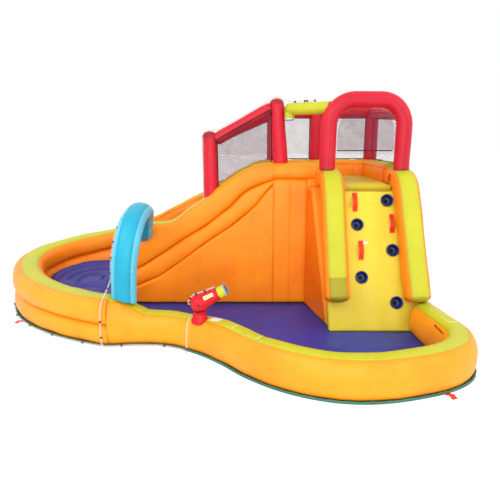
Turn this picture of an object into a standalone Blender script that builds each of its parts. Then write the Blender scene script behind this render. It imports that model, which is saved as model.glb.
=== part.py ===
"""Inflatable lazy river: two joined pools, a slide tower, a climbing wall, a spray arch and a water cannon.

Metres, +Z up. X runs along the length, Y runs from the front rim to the tower's back wall.
The origin is on the ground under the middle of the whole object.
"""

import math

import bmesh
import bpy
import numpy as np
from mathutils import Vector
from mathutils.bvhtree import BVHTree

# Seams and sheets
GAP = 0.0003
SHEET = 0.006
FLOOR_SHEET = 0.008
NET = 0.004
HEM_OUT = 0.004

# Left pool wall, two tubes high. The centre line is a plan curve through these points
SEAM = (-0.84, -0.68)
LEFT_LINE = [
    (-1.12, -0.57), (-1.41, -0.42), (-1.71, -0.20), (-1.94, 0.04), (-2.13, 0.36),
    (-2.25, 0.72), (-2.21, 1.03), (-2.04, 1.29), (-1.77, 1.49), (-1.43, 1.57),
]
BACK_SEAM = (-1.10, 1.54)
LEFT_WIDTH = 0.35
LEFT_NEAR_HEIGHT = 0.45
LEFT_END_HEIGHT = 0.52
LEFT_FAR_HEIGHT = 0.76
LEFT_CREASES = [(0, 0.47), (0.25, 0.49), (0.55, 0.53), (0.85, 0.64), (1, 0.68)]

# Right pool wall, one tube high
RIGHT_LINE = [
    (-0.55, -0.67), (-0.20, -0.72), (0.10, -0.88), (0.37, -1.11), (0.58, -1.34),
    (0.80, -1.52), (1.02, -1.64), (1.25, -1.71), (1.50, -1.72), (1.80, -1.66), (2.12, -1.54),
    (2.31, -1.39), (2.39, -1.20), (2.39, -1.00), (2.35, -0.78), (2.31, -0.25),
]
RIGHT_WIDTH = 0.29
RIGHT_HEIGHT = 0.335
RIGHT_DIP_HEIGHT = 0.30
WALL_STEP = 0.16
NESTED = 0.003

# Tower walls
WALL_THICK = 0.30
FRONT_WALL_Y = 0.49
BACK_WALL_Y = 1.37
WALL_TOP = 1.70
BACK_LINE = [(-0.75, 1.45), (-0.40, 1.39), (0.0, 1.37), (0.5, 1.37), (2.32, 1.37)]
BACK_TOPS = [
    (-1.10, 0.76), (-0.81, 0.90), (-0.43, 1.10), (-0.09, 1.27), (0.10, 1.38), (0.30, 1.51), (0.50, 1.62),
    (0.65, 1.68), (0.80, WALL_TOP), (2.40, WALL_TOP),
]
RIB_PITCH = 0.29
RIB_DEPTH = 0.035
CORNER_X = 0.81
RIGHT_WALL_X = 2.17
RIGHT_WALL_THICK = 0.28

# Slide side wall: heights of its top and of its two creases over X
SLIDE_END_X = -0.95
SLIDE_TOPS = [
    (-0.95, 0.92), (-0.80, 0.985), (-0.63, 0.99), (-0.44, 1.00), (-0.33, 1.05), (-0.18, 1.17),
    (0.02, 1.30), (0.21, 1.45), (0.42, 1.59), (0.56, 1.66), (0.71, WALL_TOP), (CORNER_X, WALL_TOP),
]
UPPER_CREASE = [
    (-0.95, 0.40), (-0.77, 0.48), (-0.53, 0.63), (-0.27, 0.81), (0.0, 0.97), (0.31, 1.21), (0.42, 1.33),
    (0.52, 1.405), (0.63, 1.455), (0.73, 1.49), (CORNER_X, 1.51),
]
LOWER_CREASE = [
    (-0.95, 0.19), (-0.78, 0.26), (-0.54, 0.37), (-0.27, 0.56), (0.0, 0.76), (0.31, 0.97), (0.52, 1.14),
    (0.63, 1.24), (0.73, 1.375), (CORNER_X, 1.465),
]
SLIDE_RIB_X = 0.34
TOWER_RIB_X = 1.02
BAND_HEIGHT = 0.18
BAND_END_X = 1.48

# Slide bed and deck
BED_LINE = [
    (-1.00, 0.20), (-0.80, 0.22), (-0.55, 0.32), (-0.25, 0.56), (0.10, 0.88), (0.45, 1.20), (0.66, 1.36),
    (0.80, 1.42),
]
BED_THICK = 0.15
BED_BEAMS = 4
BED_GROOVE = 0.022
DECK_TOP = 1.50
DECK_THICK = 0.105
DECK_EDGE = 0.022
WEB_X = 1.10

# Climbing wall
CLIMB_FRONT_Y = -0.52
CLIMB_LIP_Y = 0.03
CLIMB_LIP_Z = 1.46
CLIMB_LEFT_X = 1.42
CLIMB_RIGHT_X = 2.28
CLIMB_THICK = 0.16
SIDE_THICK = 0.20
SIDE_SPLAY = 0.16
BLOCK_HIGH = 0.8
BOLSTER_WIDTH = 0.25
BOLSTER_DEPTH = 0.22
BOLSTER_TOP = 1.655
BOLSTER_FOOT = 0.34
HOLD_RADIUS = 0.066
HOLD_DEPTH = 0.075
HOLD_WALL = 0.018
HOLD_FLOOR = 0.012
HOLD_LIP = 0.008
HOLDS = [(2.02, 1.32), (1.69, 1.07), (2.06, 0.81), (1.72, 0.54), (2.08, 0.29)]
HANDLE_WIDTH = 0.045
HANDLE_LENGTH = 0.19
HANDLE_RISE = 0.035
HANDLE_BAND = 0.004
HANDLES = [(1.67, 1.30), (2.06, 1.08), (1.72, 0.81)]
SIDE_HANDLE_Y = 0.09
SIDE_HANDLE_Z = 1.55
SIDE_HANDLE_LENGTH = 0.082

# Red frame
POST_RADIUS = 0.084
RAIL_RADIUS = 0.072
ARCH_RADIUS = 0.086
ARCH_Y = 0.07
ARCH_LEFT_X = 1.375
ARCH_RIGHT_X = 2.175
ARCH_TOP = 2.45
ARCH_CORNER = 0.27
SLIDE_POST_X = 0.08
SLIDE_POST_TOP = 2.05
BACK_SLIDE_POST_X = -0.01
CORNER_POST_FOOT_X = 0.90
CORNER_POST_HEAD_X = 0.84
CORNER_POST_TOP = 2.41
RAIL_DROP = 0.105
BACK_POSTS_X = {"back_left_post": 0.86, "back_middle_post": 1.42, "back_right_post": 2.16}
BACK_POST_DROP = 0.03
RIGHT_RAIL_DROP = 0.21
DOME = 0.75
TUBE_SIDES = 12

# Nets
NET_SEAT = 1.60
CURTAIN_HEM_Z = 1.84
CURTAIN_SIDE = 0.010
CURTAIN_HEAD_RADIUS = 0.013
CURTAIN_HEM_RADIUS = 0.005

# Spray arch over the channel
SPRAY_ARCH_RADIUS = 0.124
SPRAY_ARCH_FLAT = 0.68
SPRAY_ARCH_LINE = [
    (-0.700, -0.69, 0.36), (-0.690, -0.69, 0.60), (-0.668, -0.69, 0.835), (-0.640, -0.65, 1.015),
    (-0.620, -0.54, 1.145), (-0.610, -0.36, 1.215), (-0.615, -0.14, 1.225), (-0.645, 0.06, 1.175),
    (-0.690, 0.21, 1.05), (-0.725, 0.31, 0.91), (-0.740, 0.42, 0.83),
]

# Sprayer at the head of the slide
SPRAYER_RADIUS = 0.066
SPRAYER_POST_DROP = 0.123
SPRAYER_ARCH_DROP = 0.163
SPRAYER_DROP = 0.10
SPRAYER_RING = 0.022
SPRAYER_X = 0.985
SPRAYER_Y = 0.42

# Water cannon, aimed along +X
CANNON_X = 0.07
CANNON_Y = -0.93
CANNON_PIVOT_Z = 0.478
CANNON_PITCH = math.radians(28)
CANNON_BALL = 0.086
CANNON_REACH = 0.20
CANNON_MUZZLE_RADIUS = 0.058
BALL_CLEARANCE = 0.0012
PEDESTAL_RADIUS = 0.080
PEDESTAL_NECK = 0.054
COLLAR_RADIUS = 0.060
COLLAR_HEIGHT = 0.018
COLLAR_BED = 0.012
NOZZLE_RADIUS = 0.053
NOZZLE_LENGTH = 0.085
NOZZLE_BORE = 0.032
NOZZLE_RING = 0.014

# Clear water tubes
TUBE_RADIUS = 0.008
TUBE_OFF = 0.0005
HEM_CLEAR = 0.003

# Landing cushion in the left pool
CUSHION_TOP = 0.13
CUSHION_BACK_TOP = 0.30
CUSHION_RISE_Y = (0.0, 1.25)
CUSHION_INSET = 0.012
CUSHION_RELIEF = 0.030
RIDGE_PITCH = 0.16

# Hose coupling behind the left pool
INLET_Y = 1.02
INLET_LENGTH = 0.055
HOSE_BORE = 0.0095
NUT_RADIUS = 0.019
NUT_LENGTH = 0.028
NUT_RIDGES = 10

# Blower sleeve at the back
SLEEVE_X = 1.335
SLEEVE_Z = 0.20
SLEEVE_RADIUS = 0.085
SLEEVE_WALL = 0.006
SLEEVE_END_Y = 1.84

# Deflation zip on the inner side of the right rim
ZIP_Y = (-1.16, -0.98)
ZIP_Z = 0.275
ZIP_TAPE = 0.022
ZIP_PROUD = 0.002
SLIDER_SIZE = (0.022, 0.011, 0.007)
ZIP_END = 0.018

# Anchor tabs on the ground sheet: places near its edge
TABS = [
    (-2.02, -0.26), (2.13, -1.72), (-2.2, 1.35), (-1.60, 1.80), (2.33, 0.75), (1.80, 1.53), (0.30, 1.53),
]
TAB_LENGTH = 0.11
TAB_WIDTH = 0.055
TAB_LEVELS = (0.0003, 0.0018)

PALETTE = {
    "orange": ((0.98, 0.48, 0.06), 0.45),
    "amber": ((0.99, 0.60, 0.13), 0.45),
    "lime": ((0.80, 0.80, 0.10), 0.45),
    "yellow": ((0.90, 0.80, 0.08), 0.45),
    "red": ((0.90, 0.04, 0.07), 0.40),
    "scarlet": ((0.88, 0.05, 0.02), 0.55),
    "pool_blue": ((0.10, 0.09, 0.30), 0.30),
    "arch_blue": ((0.03, 0.55, 0.72), 0.40),
    "navy": ((0.02, 0.06, 0.25), 0.45),
    "hem_green": ((0.10, 0.28, 0.24), 0.60),
    "net_grey": ((0.35, 0.28, 0.30), 0.80),
    "tube_white": ((0.85, 0.72, 0.70), 0.35),
    "black": ((0.02, 0.02, 0.02), 0.50),
}


def clear_scene():
    for obj in list(bpy.data.objects):
        bpy.data.objects.remove(obj, do_unlink=True)


def finish(name):
    """The Principled material of one cloth or fitting colour, made once."""
    found = bpy.data.materials.get(name)
    if found:
        return found
    colour, roughness = PALETTE[name]
    material = bpy.data.materials.new(name)
    material.use_nodes = True
    shader = material.node_tree.nodes["Principled BSDF"]
    shader.inputs["Base Color"].default_value = (*colour, 1.0)
    shader.inputs["Roughness"].default_value = roughness
    shader.inputs["Metallic"].default_value = 0.0
    return material


def add_mesh(name, verts, faces, colour, second=None, marked=()):
    """One object from points and faces, faces turned outwards, with the marked ones in a second colour."""
    mesh = bpy.data.meshes.new(name)
    mesh.from_pydata([tuple(map(float, v)) for v in verts], [], faces)
    mesh.materials.append(finish(colour))
    if second:
        mesh.materials.append(finish(second))
    for face in marked:
        mesh.polygons[face].material_index = 1
    shaped = bmesh.new()
    shaped.from_mesh(mesh)
    bmesh.ops.remove_doubles(shaped, verts=shaped.verts, dist=0.00005)
    bmesh.ops.recalc_face_normals(shaped, faces=shaped.faces)
    shaped.to_mesh(mesh)
    shaped.free()
    mesh.shade_smooth()
    mesh.set_sharp_from_angle(angle=math.radians(40))
    obj = bpy.data.objects.new(name, mesh)
    bpy.context.scene.collection.objects.link(obj)
    return obj


def loft(name, rings, colour, crown=None):
    """A closed skin through rings of equal count, with a flat cap on each end.

    Each four-cornered face is split the same way, so a piece and the seat cut for it match. crown is the
    colour of the sewn strip along CROWN_FACES.
    """
    rings = np.asarray(rings, float)
    stations, count = rings.shape[:2]
    faces = []
    for i in range(stations - 1):
        a, b = i * count, (i + 1) * count
        for j in range(count):
            k = (j + 1) % count
            faces += [(a + j, a + k, b + k), (a + j, b + k, b + j)]
    faces.append(tuple(range(count - 1, -1, -1)))
    faces.append(tuple((stations - 1) * count + j for j in range(count)))
    strip = [i for i in range(2 * (stations - 1) * count) if (i // 2) % count in CROWN_FACES]
    return add_mesh(name, rings.reshape(-1, 3), faces, colour, crown, strip if crown else ())


def prism(name, outline, low, high, colour):
    """A flat plate: a plan outline between two heights."""
    count = len(outline)
    verts = [(x, y, low) for x, y in outline] + [(x, y, high) for x, y in outline]
    faces = [tuple(range(count - 1, -1, -1)), tuple(range(count, 2 * count))]
    faces += [(i, (i + 1) % count, (i + 1) % count + count, i + count) for i in range(count)]
    return add_mesh(name, verts, faces, colour)


def box(name, low, high, colour):
    outline = [(low[0], low[1]), (high[0], low[1]), (high[0], high[1]), (low[0], high[1])]
    return prism(name, outline, low[2], high[2], colour)


def cut(obj, *cutters):
    """Takes hidden solids out of a piece."""
    for tool in cutters:
        boolean = obj.modifiers.new("cut_" + tool.name, "BOOLEAN")
        boolean.operation = "DIFFERENCE"
        boolean.solver = "EXACT"
        boolean.object = tool
        hide(tool)


def join(obj, other):
    boolean = obj.modifiers.new("join_" + other.name, "BOOLEAN")
    boolean.operation = "UNION"
    boolean.solver = "EXACT"
    boolean.object = other
    hide(other)


def hide(obj):
    obj.hide_render = True
    obj.display_type = "WIRE"


def smooth_line(points, step):
    """A Catmull-Rom curve through the points, read off at an even spacing near step."""
    pts = np.asarray(points, float)
    ends = np.vstack([2 * pts[0] - pts[1], pts, 2 * pts[-1] - pts[-2]])
    fine = []
    for i in range(1, len(ends) - 2):
        p0, p1, p2, p3 = ends[i - 1 : i + 3]
        chords = [max(math.sqrt(np.linalg.norm(q - p)), 1e-6) for p, q in ((p0, p1), (p1, p2), (p2, p3))]
        t = np.linspace(0, 1, 17)[:-1, None]
        m1 = (p1 - p0) / chords[0] - (p2 - p0) / (chords[0] + chords[1]) + (p2 - p1) / chords[1]
        m2 = (p2 - p1) / chords[1] - (p3 - p1) / (chords[1] + chords[2]) + (p3 - p2) / chords[2]
        m1, m2 = m1 * chords[1], m2 * chords[1]
        fine.append(
            (2 * t**3 - 3 * t**2 + 1) * p1 + (t**3 - 2 * t**2 + t) * m1
            + (-2 * t**3 + 3 * t**2) * p2 + (t**3 - t**2) * m2
        )
    fine = np.vstack([*fine, pts[-1:]])
    run = np.concatenate([[0], np.cumsum(np.linalg.norm(np.diff(fine, axis=0), axis=1))])
    count = max(2, int(round(run[-1] / step)) + 1)
    at = np.linspace(0, run[-1], count)
    return np.stack([np.interp(at, run, fine[:, k]) for k in range(pts.shape[1])], axis=1)


def along(line):
    """Distance run at each point of a line."""
    return np.concatenate([[0], np.cumsum(np.linalg.norm(np.diff(line, axis=0), axis=1))])


def side_of(line):
    """Unit normals in plan, to the left of the direction of travel."""
    tangent = np.gradient(line[:, :2], axis=0)
    tangent /= np.linalg.norm(tangent, axis=1)[:, None]
    return np.stack([-tangent[:, 1], tangent[:, 0]], axis=1)


def level(table, x):
    return np.interp(x, [p[0] for p in table], [p[1] for p in table])


# A tube's section: angles round a squared ellipse, flat on top and below
TUBE_ANGLES = np.radians([76, 55, 28, 0, -25, -42, -138, -155, 180, 152, 125, 104])
TUBE_POWER = 2 / 2.5

# A wall's section: across in half widths, then height up from the foot or down from the top
WALL_CROWN = [(0.36, 0.0), (0.76, 0.028), (0.97, 0.10), (1.0, 0.17)]
WALL_FOOT = [(1.0, 0.10), (0.93, 0.0)]

# Faces of both sections that the lime strip covers, counted round from the first point
CROWN_FACES = (0, 10, 11)


def tube_section(width, low, high):
    """Across and height of a soft tube's section between two heights."""
    c, s = np.cos(TUBE_ANGLES), np.sin(TUBE_ANGLES)
    across = np.sign(c) * np.abs(c) ** TUBE_POWER * width / 2
    up = np.sign(s) * np.abs(s) ** TUBE_POWER
    up = (up - up.min()) / (up.max() - up.min())
    return np.stack([across, low + up * (high - low)], axis=1)


def wall_section(width, low, high):
    """Across and height of a tall wall's section: upright sides, a soft crown and a flat foot."""
    right = [(a * width / 2, high - d) for a, d in WALL_CROWN]
    right += [(a * width / 2, low + d) for a, d in WALL_FOOT]
    return np.array(right + [(-a, z) for a, z in right[::-1]])


def carried(line, section, widths, lows, highs, grow=0.0, ends=(None, None)):
    """Rings of a section carried along a plan line. ends fixes the plan normals of the two end rings."""
    sides = side_of(line)
    for i, fixed in zip((0, -1), ends):
        if fixed is not None:
            sides[i] = fixed
    ones = np.ones(len(line))
    rings = []
    for at, side, width, low, high in zip(line, sides, widths * ones, lows * ones, highs * ones):
        shape = section(width + 2 * grow, low - grow, high + grow)
        rings.append([(at[0] + side[0] * a, at[1] + side[1] * a, z) for a, z in shape])
    return np.array(rings)


def tube_rings(line, radii, sides=TUBE_SIDES, domed=(False, False), flat=1.0):
    """Rings of a tube along a line in space, with a domed end where asked. flat thins it one way."""
    line = np.asarray(line, float)
    radii = np.broadcast_to(np.asarray(radii, float), len(line)).copy()
    tangents = np.gradient(line, axis=0)
    tangents /= np.linalg.norm(tangents, axis=1)[:, None]
    start = np.array([0.0, 0.0, 1.0]) if abs(tangents[0][2]) < 0.9 else np.array([1.0, 0.0, 0.0])
    across = np.cross(tangents[0], start)
    across /= np.linalg.norm(across)
    turn = np.linspace(0, 2 * math.pi, sides, endpoint=False)
    rings = []
    for at, tangent, radius in zip(line, tangents, radii):
        across = across - tangent * np.dot(across, tangent)
        across /= np.linalg.norm(across)
        other = np.cross(tangent, across)
        rings.append(at + radius * (flat * np.cos(turn)[:, None] * across + np.sin(turn)[:, None] * other))
    for end, wanted in enumerate(domed):
        if not wanted:
            continue
        ring, way = (rings[0], -tangents[0]) if end == 0 else (rings[-1], tangents[-1])
        middle, radius = ring.mean(axis=0), radii[0] if end == 0 else radii[-1]
        rise = way * radius * DOME
        caps = [middle + (ring - middle) * math.cos(a) + rise * math.sin(a) for a in (0.55, 1.05, 1.42)]
        rings = caps[::-1] + rings if end == 0 else rings + caps
    return np.array(rings)


def tube(name, line, radius, colour, domed=(False, False), sides=TUBE_SIDES):
    return loft(name, tube_rings(line, radius, sides, domed), colour)


def clear_of(name, line, radius, domed=(False, False), sides=TUBE_SIDES):
    """A hidden cutter: the same tube, larger by a seam's gap all round."""
    return tube(name + "_clear", line, radius + GAP / math.cos(math.pi / sides), "black", domed, sides)


def place(obj, at, up=(0.0, 0.0, 1.0)):
    """Turns +Z to up and moves the mesh, with the object's origin left at the given point."""
    turn = Vector((0, 0, 1)).rotation_difference(Vector(up))
    obj.data.transform(turn.to_matrix().to_4x4())
    obj.location = Vector(at)
    return obj


def turned(name, profile, sides, colour):
    """A solid turned about Z from (radius, height) points, with flat ends."""
    turn = np.linspace(0, 2 * math.pi, sides, endpoint=False)
    rings = [[(r * math.cos(a), r * math.sin(a), z) for a in turn] for r, z in profile]
    return loft(name, rings, colour)


def hidden(name, rings):
    """A hidden solid for the seat cut in another piece, with its ends a seam's gap further out."""
    rings = np.array(rings, float)
    for end, beside_it in ((0, 1), (-1, -2)):
        way = rings[end].mean(axis=0) - rings[beside_it].mean(axis=0)
        rings[end] += way / np.linalg.norm(way) * GAP
    obj = loft(name, rings, "black")
    hide(obj)
    return obj


# Places worked out from the sizes above
BASE = SHEET + GAP
FLOOR_TOP = BASE + FLOOR_SHEET
FRONT_FACE_Y = FRONT_WALL_Y - WALL_THICK / 2
FRONT_BACK_Y = FRONT_WALL_Y + WALL_THICK / 2
BACK_FACE_Y = BACK_WALL_Y - WALL_THICK / 2
DECK_UNDER = DECK_TOP - DECK_THICK
BAND_LOW = WALL_TOP - BAND_HEIGHT
BACK_END_X = RIGHT_WALL_X + RIGHT_WALL_THICK / 2
ALONG_Y = (-1.0, 0.0)
ACROSS_X = (0.0, 1.0)
INTO_POOL = (0.0, -1.0)
left_ends = [(x - GAP, y) for x, y in (SEAM, BACK_SEAM)]
left_line = smooth_line([left_ends[0], *LEFT_LINE, left_ends[1]], WALL_STEP)
right_line = smooth_line([SEAM, *RIGHT_LINE], WALL_STEP)
back_line = smooth_line([BACK_SEAM, *BACK_LINE, (BACK_END_X, BACK_WALL_Y)], RIB_PITCH / 2)


def stations(first, last, step, marks=()):
    """Even stations along X with the marks among them."""
    count = max(2, int(round((last - first) / step)) + 1)
    return np.array(sorted({*np.round(np.linspace(first, last, count), 5), *marks}))


rib_x = [SLIDE_RIB_X + side for side in (-0.04, 0.0, 0.04)]
slide_x = stations(SLIDE_END_X, CORNER_X - GAP, 0.126, rib_x)
PANEL_LEFT_X = CLIMB_LEFT_X - 0.06
PANEL_RIGHT_X = CLIMB_RIGHT_X + 0.06
SIDE_LEFT_X = PANEL_LEFT_X - SIDE_SPLAY
panel_x = stations(CORNER_X, SIDE_LEFT_X - GAP, 0.10, (TOWER_RIB_X,))
band_x = stations(CORNER_X, BAND_END_X, 0.17)


# Pool walls
def left_tops():
    share = along(left_line) / along(left_line)[-1]
    near, end, far = LEFT_NEAR_HEIGHT, LEFT_END_HEIGHT, LEFT_FAR_HEIGHT
    return np.interp(share, [0, 0.25, 0.55, 0.85, 1], [near, near + 0.02, end, far - 0.10, far])


def right_tops():
    heights = [LEFT_NEAR_HEIGHT, LEFT_NEAR_HEIGHT - 0.01, RIGHT_DIP_HEIGHT, RIGHT_DIP_HEIGHT, RIGHT_HEIGHT]
    return np.interp(along(right_line), [0, 0.10, 0.36, 0.80, 1.20], heights)


def right_widths():
    return np.interp(along(right_line), [0, 0.45], [LEFT_WIDTH, RIGHT_WIDTH])


def left_crease():
    """Height of the seam between the two tubes, a share of the wall that grows towards the back."""
    share = along(left_line) / along(left_line)[-1]
    return BASE + (left_tops() - BASE) * level(LEFT_CREASES, share)


def left_lower(grow=0.0):
    tops = left_crease() - GAP / 2
    return carried(left_line, tube_section, LEFT_WIDTH, BASE, tops, grow, (INTO_POOL, ACROSS_X))


def left_upper(grow=0.0):
    lows = left_crease() - NESTED
    return carried(left_line, tube_section, LEFT_WIDTH, lows, left_tops(), grow, (INTO_POOL, ACROSS_X))


def right_rim(grow=0.0):
    return carried(right_line, tube_section, right_widths(), BASE, right_tops(), grow, (ACROSS_X, None))


def back_wall(grow=0.0):
    ribbed = WALL_THICK - RIB_DEPTH * (np.arange(len(back_line)) % 2)
    tops = level(BACK_TOPS, back_line[:, 0])
    return carried(back_line, wall_section, ribbed, BASE, tops, grow, (ACROSS_X, ACROSS_X))


# Slide side wall and tower front
def front_run(xs, section, lows, highs, grow=0.0, width=WALL_THICK):
    line = np.stack([xs, np.full(len(xs), FRONT_WALL_Y)], axis=1)
    return carried(line, section, width, lows, highs, grow, (ACROSS_X, ACROSS_X))


def end_round(xs):
    """Share of full thickness near the slide wall's free end, which closes in a soft nose."""
    return np.clip(0.72 + 0.28 * np.sqrt(np.clip((xs - SLIDE_END_X) / 0.12, 0, 1)), 0, 1)


def pinched(xs, at):
    """Wall thickness, drawn in at a rib's crease."""
    return WALL_THICK - RIB_DEPTH * np.exp(-(((xs - at) / 0.03) ** 2))


def slide_upper(grow=0.0):
    lows, tops = level(UPPER_CREASE, slide_x) + GAP / 2, level(SLIDE_TOPS, slide_x)
    return front_run(slide_x, tube_section, lows, tops, grow, WALL_THICK * end_round(slide_x))


def slide_middle(grow=0.0):
    lows, tops = level(LOWER_CREASE, slide_x) + GAP / 2, level(UPPER_CREASE, slide_x) - GAP / 2
    return front_run(slide_x, tube_section, lows, tops, grow, WALL_THICK * end_round(slide_x))


def slide_lower(grow=0.0):
    tops = level(LOWER_CREASE, slide_x) - GAP / 2
    width = pinched(slide_x, SLIDE_RIB_X) * end_round(slide_x)
    return front_run(slide_x, wall_section, BASE, tops, grow, width)


def tower_front(grow=0.0):
    return front_run(panel_x, wall_section, BASE, BAND_LOW - GAP, grow, pinched(panel_x, TOWER_RIB_X))


def tower_band(grow=0.0):
    return front_run(band_x, tube_section, BAND_LOW, WALL_TOP, grow)


def right_wall(grow=0.0):
    line = np.stack([np.full(6, RIGHT_WALL_X), np.linspace(FRONT_FACE_Y, BACK_FACE_Y - GAP, 6)], axis=1)
    return carried(line, wall_section, RIGHT_WALL_THICK, BASE, WALL_TOP, grow, (ALONG_Y, ALONG_Y))


WALLS = {
    "left_lower_tube": (left_lower, "amber", None),
    "left_upper_tube": (left_upper, "amber", "lime"),
    "right_rim_tube": (right_rim, "amber", "lime"),
    "back_wall": (back_wall, "orange", "lime"),
    "slide_upper_tube": (slide_upper, "orange", "lime"),
    "slide_middle_tube": (slide_middle, "orange", None),
    "slide_lower_panel": (slide_lower, "orange", None),
    "tower_front_panel": (tower_front, "orange", None),
    "tower_front_band": (tower_band, "orange", "lime"),
    "right_wall": (right_wall, "orange", "lime"),
}


def build_walls():
    """Every wall tube and panel that stands on the ground sheet, and a hidden copy, a seam larger."""
    made = {name: loft(name, rings(), colour, crown) for name, (rings, colour, crown) in WALLS.items()}
    seats = {name: hidden(name + "_seat", rings(GAP)) for name, (rings, _, _) in WALLS.items()}
    cut(made["left_upper_tube"], seats["left_lower_tube"])
    return made, seats


# Climbing wall
def slope_y(z):
    """Y of the climbing face at a height."""
    return CLIMB_FRONT_Y + (CLIMB_LIP_Y - CLIMB_FRONT_Y) * z / CLIMB_LIP_Z


SLOPE = math.atan2(CLIMB_LIP_Z, CLIMB_LIP_Y - CLIMB_FRONT_Y)
SLOPE_OUT = np.array([0.0, -math.sin(SLOPE), math.cos(SLOPE)])
BOLSTER_LEAN = 0.025
LEFT_BOLSTER_X = CLIMB_LEFT_X - 0.01
RIGHT_BOLSTER_X = CLIMB_RIGHT_X - 0.09
BOLSTER_ANGLES = np.radians([75, 45, 15, -15, -45, -75, -105, -135, -165, 165, 135, 105])
BOLSTER_POWER = 0.75


def inset(outline, by):
    """A closed outline moved inwards at each corner. The corners run anticlockwise."""
    pts = np.asarray(outline, float)
    ahead, behind = np.roll(pts, -1, axis=0) - pts, pts - np.roll(pts, 1, axis=0)
    ahead /= np.linalg.norm(ahead, axis=1)[:, None]
    behind /= np.linalg.norm(behind, axis=1)[:, None]
    normal = np.stack([-(ahead + behind)[:, 1], (ahead + behind)[:, 0]], axis=1)
    normal /= np.linalg.norm(normal, axis=1)[:, None]
    lean = np.clip((normal * np.stack([-ahead[:, 1], ahead[:, 0]], axis=1)).sum(axis=1), 0.5, 1)
    return pts + normal * (by / lean)[:, None]


def slab_rings(outline, first, last, soft=0.035, splay=None):
    """Rings of a slab between two X from its Y-Z outline, with soft rims. splay moves X by Y."""
    rings = []
    for x, by in ((0, soft), (0.35, 0.3 * soft), (1, 0), (-1, 0), (-0.35, 0.3 * soft), (0, soft)):
        at = (first if len(rings) < 3 else last) + x * soft
        ring = inset(outline, by) if by else np.asarray(outline, float)
        rings.append([(at + (splay(y) if splay else 0.0), y, z) for y, z in ring])
    return rings


def panel_outline(grow=0.0):
    """The climbing panel's outline in Y and Z, larger all round by grow."""
    low, top, off = BASE - grow, DECK_UNDER - GAP + grow, grow / math.sin(SLOPE)
    front = [(slope_y(z) - off, z) for z in (top, 0.7 * top, 0.35 * top, low)]
    return [(slope_y(low) + CLIMB_THICK + off, low), (slope_y(top) + CLIMB_THICK + off, top), *front]


def side_outline(back_y, step_y):
    """A side wall's outline: behind the panel, under the bolster and, past step_y, under the band."""
    under_bolster, under_band = BOLSTER_TOP - BOLSTER_DEPTH - GAP, BAND_LOW - GAP
    low = slope_y(BASE) + CLIMB_THICK + GAP
    high = slope_y(under_bolster) + CLIMB_THICK + GAP
    rear = [(back_y, BASE), (back_y, under_bolster)]
    if back_y > step_y:
        rear = [(back_y, BASE), (back_y, under_band), (step_y, under_band), (step_y, under_bolster)]
    return [(low, BASE), *rear, (high, under_bolster)]


def bolster_line(bottom_x, top_x, foot):
    """A bolster's centre line: up the climbing face, over its lip and back to the tower."""
    out = BOLSTER_DEPTH / 2 + GAP
    points = []
    for z in (foot, 0.7, 1.1, 1.36):
        share = (z - foot) / (CLIMB_LIP_Z - foot)
        x = bottom_x + (top_x - bottom_x) * min(share, 1)
        points.append((x, slope_y(z) - out * math.sin(SLOPE), z + out * math.cos(SLOPE)))
    crest = BOLSTER_TOP - BOLSTER_DEPTH / 2
    points.append((top_x, CLIMB_LIP_Y - 0.045, crest - 0.035))
    points.append((top_x, CLIMB_LIP_Y + 0.06, crest))
    points.append((top_x, FRONT_FACE_Y - GAP, crest))
    return smooth_line(points, 0.13)


def bolster_rings(line, grow=0.0):
    """A squared tube, wide across X, with a rounded foot."""
    tangents = np.gradient(line, axis=0)
    tangents[-1] = (0.0, 1.0, 0.0)
    tangents /= np.linalg.norm(tangents, axis=1)[:, None]
    c, s = np.cos(BOLSTER_ANGLES), np.sin(BOLSTER_ANGLES)
    across = np.sign(c) * np.abs(c) ** BOLSTER_POWER * (BOLSTER_WIDTH / 2 + grow)
    out = np.sign(s) * np.abs(s) ** BOLSTER_POWER
    out = out / out.max() * (BOLSTER_DEPTH / 2 + grow)
    rings = []
    for at, tangent in zip(line, tangents):
        normal = np.cross((1.0, 0.0, 0.0), tangent)
        normal /= np.linalg.norm(normal)
        side = np.cross(tangent, normal)
        rings.append(at + across[:, None] * side + out[:, None] * normal)
    first, way = rings[0], -tangents[0]
    nose = []
    for shrink, reach in ((0.5, 0.22), (0.86, 0.14)):
        nose.append(line[0] + (first - line[0]) * shrink + way * BOLSTER_DEPTH * reach)
    return np.array([*nose, *rings])


left_bolster_line = bolster_line(LEFT_BOLSTER_X + BOLSTER_LEAN, LEFT_BOLSTER_X, BOLSTER_FOOT)
right_bolster_line = bolster_line(RIGHT_BOLSTER_X + 0.07, RIGHT_BOLSTER_X, BOLSTER_FOOT)
BOLSTERS = {"left_bolster": left_bolster_line, "right_bolster": right_bolster_line}


def hold_profile():
    """A foothold cup from its closed back round its lip and down its inside."""
    inner = HOLD_RADIUS - HOLD_WALL
    return [
        (HOLD_RADIUS - 0.012, -HOLD_DEPTH), (HOLD_RADIUS, -HOLD_DEPTH + 0.02), (HOLD_RADIUS, 0.004),
        (HOLD_RADIUS - 0.006, HOLD_LIP), (inner, 0.004), (inner - 0.006, -HOLD_DEPTH + HOLD_FLOOR),
    ]


def on_slope(x, z, out=0.0):
    return np.array([x, slope_y(z), z]) + SLOPE_OUT * out


def strap(name, first, last, normal, across, rise):
    """A sewn handle strap: both ends flat on the face, the middle lifted for a hand."""
    first, last, normal, across = (np.asarray(v, float) for v in (first, last, normal, across))
    rings = []
    for t in np.linspace(0, 1, 11):
        lift = rise * math.sin(math.pi * min(max((t - 0.14) / 0.72, 0), 1)) ** 0.7
        at = first + (last - first) * t + normal * (GAP + lift)
        half, skin = across * HANDLE_WIDTH / 2, normal * HANDLE_BAND
        rings.append([at - half, at + half, at + half + skin, at - half + skin])
    return loft(name, rings, "scarlet")


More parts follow.
